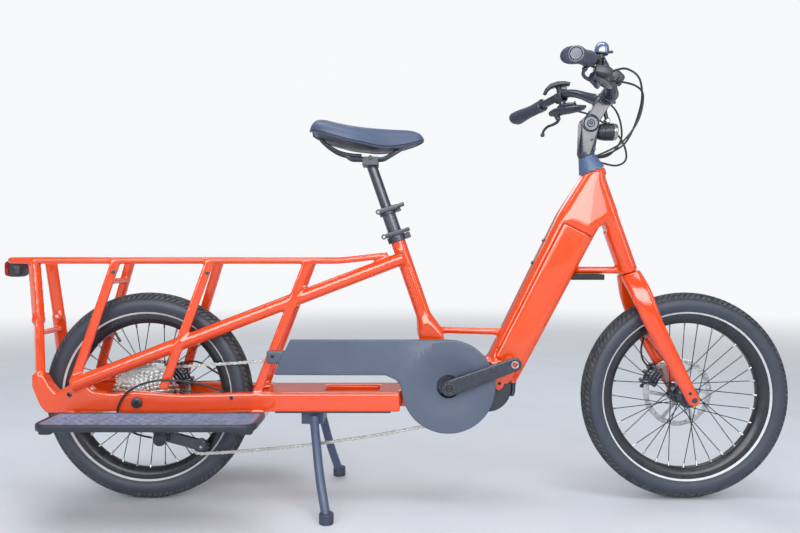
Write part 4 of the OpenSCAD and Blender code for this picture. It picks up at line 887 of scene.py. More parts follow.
for name, source, body, skin, width, slot in crispPieces:
    settle(crisp(name, source, width), body, skin, source, 35)
for name, skin, slot in [("lower_post", satinBlack, "black_metal"), ("saddle_rails", satinBlack, "steel"),
                         ("front_spokes", spokeSteel, "black_metal"),
                         ("rear_spokes", spokeSteel, "black_metal")]:
    nodes[name].data.materials.clear()
    nodes[name].data.materials.append(skin)
print("frame, fork and small castings skinned")

tyre = {"r": 263.0, "ring": 233.0, "crown": 27.3, "side": 29.6, "shoulder": (52, 34), "steps": 168,
        "pitches": 112, "block": 2.7, "sunk": 0.5, "draft": 0.55, "bevel": 1.1, "fall": (0.9, 45, 13),
        "treadTo": 62, "band": 0.25,
        "bed": [(205.5, 15.2), (205.5, -15.2)],
        # angle off the crown, height, width
        "ridges": [(66, 0.55, 2.2), (70.5, 0.35, 1.4), (117.0, 0.4, 1.2), (120.5, 0.4, 1.2),
                   (124.5, 0.6, 1.2)],
        "angles": [0, 8, 16, 24, 32, 40, 48, 54, 58, 61, 63.5, 65, 66, 67.2, 69, 70.5, 72, 75, 80, 86, 92, 98,
                   104, 110, 114, 116, 117, 118.2, 119.4, 120.5, 121.8, 124, 126, 126.9, 127.1, 130, 132.8,
                   135.5, 138.3, 138.5, 139.6, 141]}
treadRows = [
    # from, to (degrees off the crown), share of the pitch filled, shift along the pitch, slant
    (1.4, 12.0, 0.80, 0.0, 0.16),
    (14.6, 31.0, 0.74, 0.36, 0.52),
    (34.0, 58.0, 0.66, 0.05, 0.60),
]
reflexRing = (127.0, 138.4)


def casing(phi):
    # how far the rubber lies from the middle of the tube, by the angle from the crown
    a = abs(phi)
    first, span = tyre["shoulder"]
    rho = tyre["crown"] + (tyre["side"] - tyre["crown"]) * ease((a - first) / span)
    for ridge, high, wide in tyre["ridges"]:
        rho += high * math.exp(-((a - ridge) / wide) ** 2)
    return rho + (tyre["band"] if reflexRing[0] <= a <= reflexRing[1] else 0)


def tyrePoint(axle, phi, theta, lift):
    r, y = polar(casing(phi) + lift, math.radians(phi))
    return around(axle, tyre["ring"] + r, math.radians(theta), y)


def makeTyre(name, axle, body, node):
    angles = [-a for a in reversed(tyre["angles"][1:])] + tyre["angles"]
    profile, marks = [], []
    for a, b in zip(angles, angles[1:] + angles[-1:]):
        r, y = polar(casing(a), math.radians(a))
        profile.append((tyre["ring"] + r, y))
        mid = abs((a + b) / 2)
        marks.append(1 if reflexRing[0] < mid < reflexRing[1] else 2 if mid < tyre["treadTo"] else 0)
    verts, faces, indices = lathe(profile + tyre["bed"], axle, tyre["steps"], True, marks + [0, 0])
    for side in (1, -1):
        for first, last, fill, shift, slant in treadRows:
            for k in range(tyre["pitches"]):
                place = k + shift + (0.5 if side < 0 else 0)
                addBlock(verts, faces, indices, axle, side, first, last, place, fill, slant)
    mesh = meshOf(name, verts, faces, indices)
    faceOut(mesh)
    settle(addObject(name, mesh), body, [tyreRubber, reflexBand, treadRubber], [node], 32)


def addBlock(verts, faces, indices, axle, side, first, last, place, fill, slant):
    pitch = 360 / tyre["pitches"]
    rows = 3
    start = len(verts)
    low, high, draft = -tyre["sunk"], tyre["block"], math.degrees(tyre["draft"] / tyre["r"])
    drop, dropFrom, dropSpan = tyre["fall"]
    for j in range(rows + 1):
        phi = first + (last - first) * j / rows
        lean = slant * pitch * j / rows
        edge = (1 if j == 0 else -1 if j == rows else 0) * tyre["bevel"]
        fall = drop * max(0.0, (phi - dropFrom) / dropSpan)
        for at, lift, top in ((0, low, 0), (draft, high, 1), (fill * pitch - draft, high, 1),
                              (fill * pitch, low, 0)):
            theta = place * pitch + lean + at
            verts.append(tyrePoint(axle, side * (phi + top * edge), theta, lift - top * fall))
    for j in range(rows):
        for c in range(4):
            d = (c + 1) % 4
            faces.append(tuple(start + 4 * j + v for v in (c, d, 4 + d, 4 + c)))
    faces.append(tuple(start + c for c in range(4)))
    faces.append(tuple(start + 4 * rows + c for c in (3, 2, 1, 0)))
    indices += [2] * (4 * rows + 2)


rim = {"profile": [(209.5, 17.6), (210.6, 18.6), (210.2, 19.6), (208.6, 19.8), (200.5, 19.5), (197.4, 18.9),
                   (188.2, 11.6), (186.4, 9.6), (185.2, 7.0), (185.2, -7.0), (186.4, -9.6), (188.2, -11.6),
                   (197.4, -18.9), (200.5, -19.5), (208.6, -19.8), (210.2, -19.6), (210.6, -18.6),
                   (209.5, -17.6), (203.5, -16.6), (200.2, -12.0), (200.2, 12.0), (203.5, 16.6)],
       "steps": 160}
spokes = {"count": 32, "crosses": 2, "part": 2.2, "rimY": 3.0, "rimR": 184.4, "d": 2.2, "gap": 0.1,
          "bendD": 2.3, "headIn": 3, "headY": 2.4,
          "nut": [(3.1, -3.4), (3.1, 0.0), (2.3, 0.9), (2.3, 9.0), (1.35, 10.2)],
          "head": [(0.6, -1.2), (1.9, -0.7), (2.1, 0.2), (1.3, 1.4)]}
valve = {"angle": 119.0, "from": 188.0, "profile": [(2.9, 0), (2.9, 7), (4.3, 7.4), (4.3, 10.4), (2.7, 11.2),
                                                    (2.7, 20.5), (3.5, 21), (3.5, 30), (2.6, 31.6),
                                                    (1.0, 32)]}


def makeRim(name, axle, body, node):
    way = around(Vector(), 1, math.radians(valve["angle"])).normalized()
    stem = turnedAlong("valve", valve["profile"], axle + valve["from"] * mm * way, -way, 16)
    parts = [(turned(name, rim["profile"], axle, rim["steps"], True), None, 0), (stem, None, 1)]
    assemble(name, parts, body, [rimBlack, darkPlastic], [node], 28)


def makeNipples(name, axle, body, flange, ys):
    # silver nipples where the spokes meet the rim, and the bent ends at the hub's flanges
    nut, head = (turned(part, spokes[part], Vector(), 8, axis="Z") for part in ("nut", "head"))
    parts = []
    n = spokes["count"]
    for i in range(n):
        s = i % 2
        lead = 1 if (i // 2) % 2 == 0 else -1
        a = math.radians(360 * i / n)
        b = a + math.radians(lead * spokes["crosses"] * 720 / n)
        start = around(axle, flange + spokes["gap"] + spokes["d"] / 2, b, ys[s] + lead * spokes["part"])
        end = around(axle, spokes["rimR"], a, (-1 if s == 0 else 1) * spokes["rimY"])
        seat = around(axle, flange - spokes["headIn"], b, ys[s] + lead * spokes["headY"])
        bend = [seat, seat * 0.4 + start * 0.6 + pt(0, lead * 0.2, 0), start,
                start + (end - start).normalized() * 4 * mm]
        parts += [(nut, aimed(end, start - end), 0), (head, aimed(seat, (0, lead, 0)), 1),
                  (sweep("bend", [p / mm for p in bend], spokes["bendD"] / 2, 7), None, 1)]
    assemble(name, parts, body, [nippleSteel, spokeSteel], (), 40)


hubs = {
    "frontHub": [(7.7, -49.4), (12.6, -49.4), (13.0, -48.8), (13.0, -44), (15.2, -42.6), (16.4, -38),
                 (17.6, -33.5), (25.6, -30.4), (27.0, -29.6), (27.2, -28), (26.6, -26.4), (24.0, -25.6),
                 (18.6, -22), (16.2, -16), (15.6, 0), (16.2, 16), (18.6, 22), (24.0, 25.6), (26.6, 26.4),
                 (27.2, 28), (27.0, 29.6), (23.6, 30.6), (22.8, 33), (22.8, 38.4), (19.5, 38.8), (13.0, 39.2),
                 (13.0, 48.8), (12.6, 49.4), (7.7, 49.4)],
    "rearHub": [(7.7, -75.8), (12.4, -75.8), (12.9, -75.2), (12.9, -40), (18.0, -39), (18.4, -22),
                (28.4, -20.4), (30.0, -19.4), (30.2, -18), (29.4, -16.4), (26.6, -15.4), (20.6, -11.5),
                (17.6, -5), (17.2, 8), (18.4, 22), (22.6, 29.5), (27.4, 33.4), (29.6, 34.4), (30.2, 36),
                (29.8, 37.6), (25.6, 38.8), (23.2, 40), (23.2, 44.6), (19, 45), (12.9, 45.2), (12.9, 75.2),
                (12.4, 75.8), (7.7, 75.8)],
}


def makeHub(name, axle, body, node):
    mesh = turned(name, hubs[name], axle, 56, True)
    settle(addObject(name, mesh), body, anodBlack, [node], 30)


boltCache = {}


def boltMesh(r, h, socket=0.55):
    # a round-headed socket bolt standing on Z = 0
    key = (r, h, socket)
    if key not in boltCache:
        n, sixth = 18, math.pi / 3
        # radius, height, whether six-sided
        rings = [(r * 0.96, -0.6, False), (r, h * 0.15, False), (r * 0.97, h * 0.7, False),
                 (r * 0.82, h * 0.95, False), (r * socket * 1.2, h, False), (r * socket, h * 0.94, True),
                 (r * socket, h * 0.3, True)]
        verts = []
        for radius, z, hexagon in rings:
            for k in range(n):
                a = 2 * math.pi * k / n
                reach = radius * 0.9 / math.cos((a + sixth / 2) % sixth - sixth / 2) if hexagon else radius
                verts.append(pt(*polar(reach, a), z))
        boltCache[key] = meshOf("bolt", verts, bands(len(rings), n))
    return boltCache[key]


rotor = {"r": 89.5, "ring": 14.5, "wave": 1.5, "waves": 12, "arms": 6, "armWide": 9.5, "lean": 0.34,
         "core": 28.6, "hole": 13.4, "thick": 1.9, "bolts": 6, "boltAt": 18.6, "steps": 288, "scallop": 1.4,
         "vents": 36, "ventR": 2.2, "ventIn": (4.2, 7.6, 11.0),
         "carrier": [(13.2, -1.6), (24.2, -1.6), (25.0, -1.0), (25.0, 1.2), (21.4, 2.6), (15.2, 3.2),
                     (13.2, 3.2)]}


def makeRotor(name, axle, y, body, node):
    f = rotor
    turns = [2 * math.pi * i / f["steps"] for i in range(f["steps"])]
    outer = [polar(f["r"] - f["wave"] * (0.5 - 0.5 * math.cos(f["waves"] * a)) ** 3, a) for a in turns]
    lines = [outer, ring(f["hole"], 40)]
    rimIn, core, half = f["r"] - f["ring"], f["core"], f["armWide"] / 2
    step = 2 * math.pi / f["arms"]
    for k in range(f["arms"]):
        # the opening between two leaning arms
        a, b = step * k + half / rimIn, step * (k + 1) - half / rimIn
        opening = [polar(rimIn + f["scallop"] * math.sin(math.pi * j / 4) ** 2,
                         a + (b - a) * j / 12) for j in range(13)]
        a, b = step * k + f["lean"] + half / core, step * (k + 1) + f["lean"] - half / core
        lines.append(opening + [polar(core, a + (b - a) * j / 6) for j in range(6, -1, -1)])
    for k in range(f["vents"]):
        lines.append(ring(f["ventR"], 10, polar(f["r"] - f["ventIn"][k % 3], 2 * math.pi * k / f["vents"])))
    middle = axle + pt(0, y, 0)
    parts = [(plate(name, lines, f["thick"], 0.25), Matrix.Translation(middle), 0),
             (turned("carrier", f["carrier"], middle, 48, True), None, 1)]
    for k in range(f["bolts"]):
        at = around(middle, f["boltAt"], 2 * math.pi * (k + 0.5) / f["bolts"], 2.4)
        parts.append((boltMesh(3.3, 2.2), aimed(at, (0, 1, 0)), 2))
    assemble(name, parts, body, [rotorSteel, anodBlack, boltSteel], [node], 30)


wheels = [
    # end, axle, flange radius, flanges' distance from the middle, rotor's distance
    ("front", frontAxle, 27.0, (-28.0, 28.0), 40.0),
    ("rear", rearAxle, 30.0, (-18.0, 36.0), 46.0),
]
for end, axle, flange, ys, rotorY in wheels:
    body = end + "_wheel"
    makeTyre(end + "Tyre", axle, body, end + "_tyre")
    makeRim(end + "Rim", axle, body, end + "_rim")
    makeNipples(end + "Nipples", axle, body, flange, ys)
    makeHub(end + "Hub", axle, body, end + "_hub")
    makeRotor(end + "Rotor", axle, rotorY, body, end + "_rotor")
print("wheels built")

chainLink = {"pitch": 12.7, "eye": 4.05, "waist": 2.7, "plate": 0.95, "outerY": 2.35, "innerY": 1.3,
             "wide": 4.4,
             "pin": [(1.2, -3.2), (1.9, -2.9), (1.9, 2.9), (1.2, 3.2)],
             "roller": [(3.55, -1.2), (3.85, -0.9), (3.85, 0.9), (3.55, 1.2)]}


def linkPlate(eye, waist):
    line = []
    for s in (1, -1):
        for j in range(8):
            x, z = polar(eye, math.radians(-105 + 210 * j / 7) + (0 if s > 0 else math.pi))
            line.append((s * chainLink["pitch"] / 2 + x, z))
        line.append((0, s * waist))
    return plate("linkPlate", [line], chainLink["plate"])


def makeLinks():
    wide = linkPlate(chainLink["eye"], chainLink["waist"])
    narrow = linkPlate(chainLink["eye"] + 0.15, chainLink["waist"] + 0.2)
    out, into = [], []
    for s in (1, -1):
        end = pt(s * chainLink["pitch"] / 2, 0, 0)
        out += [(wide, Matrix.Translation(pt(0, s * chainLink["outerY"], 0)), 0),
                (turned("pin", chainLink["pin"], end, 8), None, 0)]
        into += [(narrow, Matrix.Translation(pt(0, s * chainLink["innerY"], 0)), 0),
                 (turned("roller", chainLink["roller"], end, 12), None, 0)]
    return gather("outerLink", out), gather("innerLink", into)


def islands(mesh):
    # vertex numbers of each loose piece of a mesh, in the order that they come
    owner = list(range(len(mesh.vertices)))

    def root(i):
        while owner[i] != i:
            owner[i] = owner[owner[i]]
            i = owner[i]
        return i
    for e in mesh.edges:
        a, b = root(e.vertices[0]), root(e.vertices[1])
        if a != b:
            owner[max(a, b)] = min(a, b)
    found = {}
    for i in range(len(mesh.vertices)):
        found.setdefault(root(i), []).append(i)
    return [found[k] for k in sorted(found)]


def makeChain():
    source = joinNodes(["chain"])
    pairs = makeLinks()
    co = np.array([v.co[:] for v in source.vertices])
    parts = []
    for group in islands(source):
        p = co[group]
        mid = (p.min(0) + p.max(0)) / 2
        flat = p[:, [0, 2]] - p[:, [0, 2]].mean(0)
        way = np.linalg.svd(flat, full_matrices=False)[2][0]
        mid[[0, 2]] = p[:, [0, 2]].mean(0)
        turn = Matrix.Rotation(-math.atan2(way[1], way[0]), 4, "Y")
        wide = p[:, 1].max() - p[:, 1].min() > chainLink["wide"] * mm
        parts.append((pairs[0 if wide else 1], Matrix.Translation(Vector(mid)) @ turn, 0))
    assemble("chainLinks", parts, "frame", chainSteel, ["chain"], 35)
    print("chain of", len(parts), "links")


makeChain()


def toothed(teeth, tip, root):
    # outline of a sprocket with short, rounded teeth
    foot, side = root + (tip - root) * 0.25, tip - 0.25
    tooth = ((0.0, root), (0.16, foot), (0.34, side), (0.44, tip), (0.56, tip), (0.66, side), (0.84, foot))
    return [polar(r, 2 * math.pi * (i + offset) / teeth) for i in range(teeth) for offset, r in tooth]


def pitchRadius(teeth):
    return chainLink["pitch"] / 2 / math.sin(math.pi / teeth)


def slotRing(count, inner, outer, fill, turn=0.0):
    # openings round a cog, each a piece of a ring
    cuts = []
    for k in range(count):
        angles = [2 * math.pi / count * (k + fill * j / 6) + turn for j in range(7)]
        cuts.append([polar(outer, a) for a in angles] + [polar(inner, a) for a in reversed(angles)])
    return cuts


cassette = {"teeth": [42, 36, 32, 28, 24, 21, 18, 15, 13], "y": -35.0, "carrier": 1, "step": 3.8,
            "thick": 1.7, "bore": 17.2, "tip": 2.6, "root": -3.4,
            # least pitch radius, count, inner radius, outer one less than the pitch's, share open
            "slots": [(45, 6, 26, 9, 0.72), (34, 5, 22.5, 7.5, 0.7)]}


def makeCassette():
    f = cassette
    parts = []
    for i, teeth in enumerate(f["teeth"]):
        pr = pitchRadius(teeth)
        lines = [toothed(teeth, pr + f["tip"], pr + f["root"]), ring(f["bore"], 40)]
        for least, count, inner, inset, fill in f["slots"]:
            if pr > least:
                lines += slotRing(count, inner, pr - inset, fill, 0.2 * i)
                break
        last = f["y"] - (i - f["carrier"]) * f["step"]
        parts.append((plate("cog", lines, f["thick"], 0.2), Matrix.Translation(rearAxle + pt(0, last, 0)), 0))
    lock = [(13.4, last - 2.4), (18.2, last - 2.4), (19.4, last - 1.8), (19.4, last - 0.9),
            (17.6, last + 0.6), (17.6, f["y"] + 3.4), (13.4, f["y"] + 3.4)]
    parts.append((turned("lockRing", lock, rearAxle, 48, True), None, 1))
    assemble("cassetteCogs", parts, "rear_wheel", [cogSteel, anodBlack], ["cassette"], 28)


makeCassette()

chainWheel = {"teeth": 44, "tip": 2.4, "root": -3.6, "y": -48.0, "thick": 2.8, "hole": 39, "bolts": 5,
              "boltAt": 43,
              "spider": [(12.4, -56.5), (30, -56.5), (33, -55.5), (40, -51.5), (46, -50.6), (46, -48.6),
                         (12.4, -48.2)]}


def makeChainWheel():
    f = chainWheel
    pr = pitchRadius(f["teeth"])
    lines = [toothed(f["teeth"], pr + f["tip"], pr + f["root"]), ring(f["hole"], 48)]
    lines += slotRing(5, 50, pr - 12, 0.74, 0.16)
    parts = [(plate("ring", lines, f["thick"], 0.3), Matrix.Translation(crankAxle + pt(0, f["y"], 0)), 0),
             (turned("spider", f["spider"], crankAxle, 56, True), None, 1)]
    for k in range(f["bolts"]):
        at = around(crankAxle, f["boltAt"], 2 * math.pi * k / f["bolts"], -50.4)
        parts.append((boltMesh(4.2, 2.2), aimed(at, (0, -1, 0)), 2))
    assemble("chainWheel", parts, "cranks", [cogSteel, anodBlack, boltSteel], ["chainring"], 28)


makeChainWheel()

jockeys = {"at": [(-583.0, -35, 169.0), (-490.7, -35, 141.2)], "teeth": 11, "tip": 20.6, "root": 15.2,
           "thick": 2.6,
           "bush": [(2.2, -3.4), (6.8, -3.4), (6.8, 3.4), (2.2, 3.4)],
           "cap": [(2.0, -8.6), (8.2, -8.6), (8.8, -8.0), (8.8, -5.0), (2.0, -5.0)],
           "knuckle": [(0.5, -1.6), (10.5, -1.6), (13.2, -0.6), (14.6, 1.0), (14.6, 2.0), (0.5, 2.0)],
           "knuckleAt": (-583.0, -77.0, 169.0)}


def makeJockeys():
    # toothed wheels of the changer, with the rings on its cage and the bolts through them
    f = jockeys
    parts = []
    for at in (pt(*p) for p in f["at"]):
        lines = [toothed(f["teeth"], f["tip"], f["root"]), ring(6.2, 24)] + slotRing(5, 8.4, 11.8, 0.6)
        parts += [(plate("jockey", lines, f["thick"], 0.3), Matrix.Translation(at), 0),
                  (turned("bush", f["bush"], at, 24, True), None, 1),
                  (turned("cap", f["cap"], at, 28, True), None, 1),
                  (boltMesh(3.6, 1.7), aimed(at + pt(0, -8.4, 0), (0, -1, 0)), 2)]
    parts.append((turned("knuckle", f["knuckle"], pt(*f["knuckleAt"]), 40), None, 0))
    assemble("changerWheels", parts, "frame", [darkPlastic, satinBlack, brightSteel], (), 30)


makeJockeys()

guard = {"voxel": 2.0, "passes": 16, "keep": 0.25, "face": -76.0, "dishOut": 88.0, "dishIn": 31.0,
         "dish": 5.5, "belly": 1.6, "bellyFrom": -300.0, "discR": 116}


def makeGuard():
    f = guard
    obj = melt("chainGuard", ["chain_guard"], f["voxel"], f["passes"])
    co = readVerts(obj.data)
    r = np.hypot(co[:, 0] - crankAxle.x, co[:, 2] - crankAxle.z) / mm
    outer = np.clip((f["face"] + 8 - co[:, 1] / mm) / 4, 0, 1)
    co[:, 1] += ease((f["dishOut"] - r) / (f["dishOut"] - f["dishIn"])) * f["dish"] * mm
    x = np.clip((co[:, 0] / mm - f["bellyFrom"]) / -f["bellyFrom"], 0, 1)
    co[:, 1] += outer * f["belly"] * (1 - np.sin(math.pi * x)) * (r > f["discR"]) * mm
    writeVerts(obj.data, co)
    obj = thinned(obj, f["keep"])
    obj.data.shade_smooth()
    settle(obj, "frame", guardPlastic, ["chain_guard"])


makeGuard()

crankTrim = {"reach": 170.0, "angle": 20.0, "face": 95.0, "grooves": 5,
             # radius, offset from the arm's face
             "thread": [(7.05, 0.3), (9.0, 0.3), (9.6, -0.2), (9.6, -15.0), (7.05, -15.0)],
             "groove": [(6.5, -0.5), (7.2, -0.9), (7.2, 0.9), (6.5, 0.5)],
             "cap": [(0.6, 1.2), (5.2, 1.2), (5.8, 0.6), (6.2, -0.6), (7.4, 0.4), (11.6, 0.9), (12.6, 0.2),
                     (12.8, -2)],
             "washer": [(13.6, -1.6), (14.0, 0.4), (17.2, 0.6), (18.0, -0.2), (18.0, -1.6)]}


def makeCrankTrim():
    # bright pedal threads and the caps over the axle's ends
    f = crankTrim
    parts = []
    for side in (-1, 1):
        tip = around(crankAxle, -side * f["reach"], math.radians(f["angle"]))
        thread, cap, washer = ([(r, side * (f["face"] + o)) for r, o in f[k]] for k in ("thread", "cap",
                                                                                        "washer"))
        parts.append((turned("thread", thread, tip, 32, True), None, 0))
        for k in range(f["grooves"]):
            y = side * (f["face"] + 0.3 - 1.6 - k * 2.4)
            parts.append((turned("groove", [(r, y + o) for r, o in f["groove"]], tip, 28, True), None, 0))
        parts += [(turned("cap", cap, crankAxle, 40), None, 1),
                  (turned("washer", washer, crankAxle, 48, True), None, 2)]
    assemble("crankTrim", parts, "cranks", [brightSteel, boltSteel, darkPlastic], (), 30)


makeCrankTrim()
print("drive built")

board = {"x": (-822.0, -318.0), "y": (98.0, 226.0), "top": 242.0, "thick": 16.0, "corner": 34.0,
         "innerCorner": 4.0,
         # inset from the rim, inset from the wheel's side, height over the underside
         "low": [(5.5, 5.5, 5.0), (4.2, 4.2, 1.2), (2.6, 2.6, 0.0), (1.0, 1.0, 0.8), (0.0, 0.0, 3.6)],
         # the same two, depth under the top
         "high": [(0.0, 0.0, 4.8), (0.9, 0.6, 1.6), (2.8, 2.0, 0.2), (5.2, 3.6, 0.0), (8.0, 5.2, 0.2),
                  (9.4, 6.2, 1.9), (11.0, 7.4, 2.4)],
         "rows": 9, "columns": 38, "slant": 34, "treadX": 26, "treadY": (15, 17), "bare": (40, 30),
         # half a grip bar's outline, then its height and size from the foot up
         "bar": [(-6.2, 1.0), (-5.2, 1.6), (0, 1.9), (5.2, 1.6), (6.2, 1.0)],
         "barRows": [(-0.6, 1.0), (0.9, 0.92), (1.5, 0.66)]}


def boardOutline(inset, wall):
    x0, x1 = board["x"][0] + inset, board["x"][1] - inset
    y0, y1 = board["y"][0] + wall, board["y"][1] - inset
    r, inner = board["corner"] - inset, board["innerCorner"]
    corners = [(x1 - inner, y0 + inner, inner, 4, -90), (x1 - r, y1 - r, r, 10, 0),
               (x0 + r, y1 - r, r, 10, 90), (x0 + inner, y0 + inner, inner, 4, 180)]
    line = []
    for cx, cy, radius, steps, start in corners:
        turns = (polar(radius, math.radians(start + 90 * j / steps)) for j in range(steps + 1))
        line += [(cx + x, cy + y) for x, y in turns]
    return line


def makeBoard(name, side, replaced):
    # shell with a rolled edge, a shallow tray on top and a hollow underneath
    f = board
    levels = [(a, b, f["top"] - f["thick"] + up) for a, b, up in f["low"]]
    levels += [(a, b, f["top"] - down) for a, b, down in f["high"]]
    rows = [[pt(x, side * y, z) for x, y in boardOutline(inset, wall)] for inset, wall, z in levels]
    n = len(rows[0])
    marks = [0] * n * (len(rows) - 2) + [1] * n + [0, 1]
    parts = [(loft(name, rows, marks), None, None)]
    # raised wavy grip, in rows that change their slant
    grip = gripBar()
    x0, x1 = f["x"][0] + f["treadX"], f["x"][1] - f["treadX"]
    y0, y1 = f["y"][0] + f["treadY"][0], f["y"][1] - f["treadY"][1]
    for i in range(f["columns"]):
        for j in range(f["rows"]):
            x = x0 + (x1 - x0) * (i + 0.5 * (j % 2)) / (f["columns"] - 0.5)
            y = y0 + (y1 - y0) * j / (f["rows"] - 1)
            if min(x - f["x"][0], f["x"][1] - x) < f["bare"][0] and y > f["y"][1] - f["bare"][1]:
                continue
            turn = Matrix.Rotation(math.radians(f["slant"] if (i + j) % 2 else -f["slant"]), 4, "Z")
            parts.append((grip, Matrix.Translation(pt(x, side * y, levels[-1][2])) @ turn, 1))
    assemble(name, parts, "frame", [boardEdge, boardTop], replaced, 35)


def gripBar():
    rows = []
    for lift, shrink in board["barRows"]:
        half = [(x * (0.9 + 0.1 * shrink), y * shrink) for x, y in board["bar"]]
        rows.append([pt(x, y, lift) for x, y in half] + [pt(x, -y, lift) for x, y in reversed(half)])
    return loft("gripBar", rows)


makeBoard("rightBoard", -1, ["footboards"])
makeBoard("leftBoard", 1, ["footboards"])
print("boards built")

saddleForm = {
    # X, crown, half width, rolled edge
    "rows": [(-217, 937, 34, 931), (-210, 950, 58, 928), (-198, 959.5, 76, 924), (-178, 959.5, 88, 918),
             (-150, 953, 94, 909.5), (-118, 946.5, 93, 901), (-85, 942.5, 82, 895.5), (-52, 940.5, 66, 890),
             (-20, 939.5, 51, 889.5), (12, 938.5, 40, 894), (38, 936, 32, 900.5), (56, 930, 25, 906),
             (65, 922, 17, 909), (69, 914.5, 7, 911)],
    "around": 30, "square": 2.5, "channel": (4.5, 13.0, -185, 25),
    # the edge rolled under: inset, height against the edge
    "under": [(0.4, -2.0), (2.4, -3.6), (6, -3.2), (9, 0.5)], "seam": (-212, 66, 6), "baseWide": 0.86,
    "baseLeast": 4,
    # X, lowest point of the black base
    "base": [(-207, 924), (-190, 911), (-165, 901), (-125, 892), (-85, 887), (-45, 883), (-5, 885), (28, 893),
             (50, 902)],
    "stays": [(-196, 30, 917), (-174, 31, 897), (-148, 28, 881), (-118, 25, 873), (-88, 24, 871)],
}


def saddleRow(x):
    rows = [Vector(r) for r in saddleForm["rows"]]
    i = max(k for k in range(len(rows) - 1) if rows[k][0] <= x or k == 0)
    return blendRows(rows, i, (x - rows[i][0]) / (rows[i + 1][0] - rows[i][0]))


def makeSaddle():
    f = saddleForm
    power = 2 / f["square"]
    deep, wide, first, last = f["channel"]
    skins = []
    for x, top, half, edge in smoothLine(f["rows"], 4):
        small = min(1.0, half / 30)
        points = []
        for k in range(f["around"] + 1):
            c, s = polar(1, math.pi * k / f["around"])
            y = -half * squared(c, power)
            z = edge + (top - edge) * max(s, 0.0) ** power
            if first < x < last:
                dip = math.sin(math.pi * (x - first) / (last - first)) ** 0.7
                z -= deep * dip * math.exp(-(y / wide) ** 2)
            points.append(pt(x, y, z))
        under = [(half - inset * small, up) for inset, up in f["under"]] + [(half * 0.5, 3.0), (0, 4.0)]
        points += [pt(x, y, edge + up * small) for y, up in under]
        points += [pt(x, -y, edge + up * small) for y, up in reversed(under[:-1])]
        skins.append(points)
    cover = addObject("saddleCover", loft("saddleCover", skins))
    settle(cover, "upper_seat_post", saddleSkin, ["saddle"], 60)
    skins = []
    for x, low in smoothLine(f["base"], 5):
        _, _, half, edge = saddleRow(x)
        half *= f["baseWide"]
        low = min(low, edge - f["baseLeast"])
        side = [(half, edge + 2), (half, edge - 1.5), (half * 0.9, edge - 0.35 * (edge - low)),
                (half * 0.55, low + 0.2 * (edge - low)), (half * 0.2, low)]
        skins.append([pt(x, -y, z) for y, z in side] + [pt(x, y, z) for y, z in reversed(side)])
    parts = [(loft("base", skins), None, 0)]
    for s in (-1, 1):
        seam = [(x, s * (half + 0.2), edge + 1.2) for x, _, half, edge in map(saddleRow, range(*f["seam"]))]
        parts += [(sweep("stay", smoothLine(mirrored(f["stays"], s), 6), 4.2, 12), None, 0),
                  (sweep("seam", seam, 1.1, 8), None, 1),
                  (boltMesh(5.5, 4.0), aimed(pt(-66, s * 27.5, 866), (0, s, 0)), 2)]
    assemble("saddleBase", parts, "upper_seat_post", [darkPlastic, gapBlack, boltSteel], (),
             40)


makeSaddle()

barForm = {"line": [(370, 340, 1034), (427, 225, 1055), (478, 150, 1066), (531, 42, 1022)], "thick": 15.9,
           "thin": 11.1, "taper": (52, 118)}
gripForm = {"inner": (416.9, 245.4, 1051.3), "outer": (365.2, 349.8, 1032.2), "r": 16.2, "waist": 0.9,
            "steps": 26, "sides": 40, "wing": (1.5, 17.0), "wingAlong": (0.08, 0.72), "wingPower": 2.6,
            # share of the length where the end starts to round, how far the wing and the radius draw in
            "end": (0.9, 9, 1.2),
            "cap": [(0.6, 1.4), (11.6, 1.4), (12.2, 0.7), (13.0, 0.7), (13.6, 1.9), (15.2, 1.8), (16.0, 0.6),
                    (16.0, -3)],
            "capMarks": [1, 3, 3, 3, 1, 1, 1],
            "ring": [(11.3, -8), (17.2, -8), (18.2, -7), (18.2, -1), (17.2, 0), (11.3, 0)]}


def makeBar():
    f = barForm
    near, far = f["taper"]
    line = smoothLine(mirrored(f["line"], -1) + f["line"][::-1], 14)
    radii = [f["thick"] + (f["thin"] - f["thick"]) * ease((abs(p.y) - near) / (far - near)) for p in line]
    tube = addObject("barTube", sweep("barTube", line, radii, 36))
    settle(tube, "steering", satinBlack, ["handlebar"], 50)


def makeGrips():
    # palm-rest grips with an end cap and a clamp ring
    f = gripForm
    least, swell = f["wing"]
    endFrom, wingIn, radiusIn = f["end"]
    parts = []
    for s in (-1, 1):
        start, end = (pt(*p) for p in mirrored([f["inner"], f["outer"]], s))
        way = (end - start).normalized()
        back = Vector((-1, 0, -0.1))
        back = (back - way * back.dot(way)).normalized()
        up = way.cross(back)
        skins = []
        for i in range(f["steps"] + 1):
            t = i / f["steps"]
            inset = 1 - math.sqrt(max(0.0, 1 - (max(t - endFrom, 0) / (1 - endFrom)) ** 2))
            wing = least + swell * ease((t - f["wingAlong"][0]) / f["wingAlong"][1]) - wingIn * inset
            r = f["r"] + f["waist"] * math.cos(2 * math.pi * t) - radiusIn * inset
            middle = start + (end - start) * t
            row = []
            for k in range(f["sides"]):
                c, h = polar(1, 2 * math.pi * k / f["sides"])
                row.append(middle + (c * back + h * up) * (r + wing * max(0.0, c) ** f["wingPower"]) * mm)
            skins.append(row)
        screw = start - way * 4 * mm - pt(0, 0, 18.2)
        parts += [(loft("grip", skins), None, 0),
                  (turnedAlong("cap", f["cap"], end, way, 40, False, f["capMarks"]), None, None),
                  (turnedAlong("ring", f["ring"], start, way, 40, True), None, 2),
                  (boltMesh(2.6, 2.0), aimed(screw, (0, 0, -1)), 2)]
    assemble("palmGrips", parts, "steering", [gripRubber, capGrey, anodBlack, gapBlack], ["grips"],
             40)


makeBar()
makeGrips()

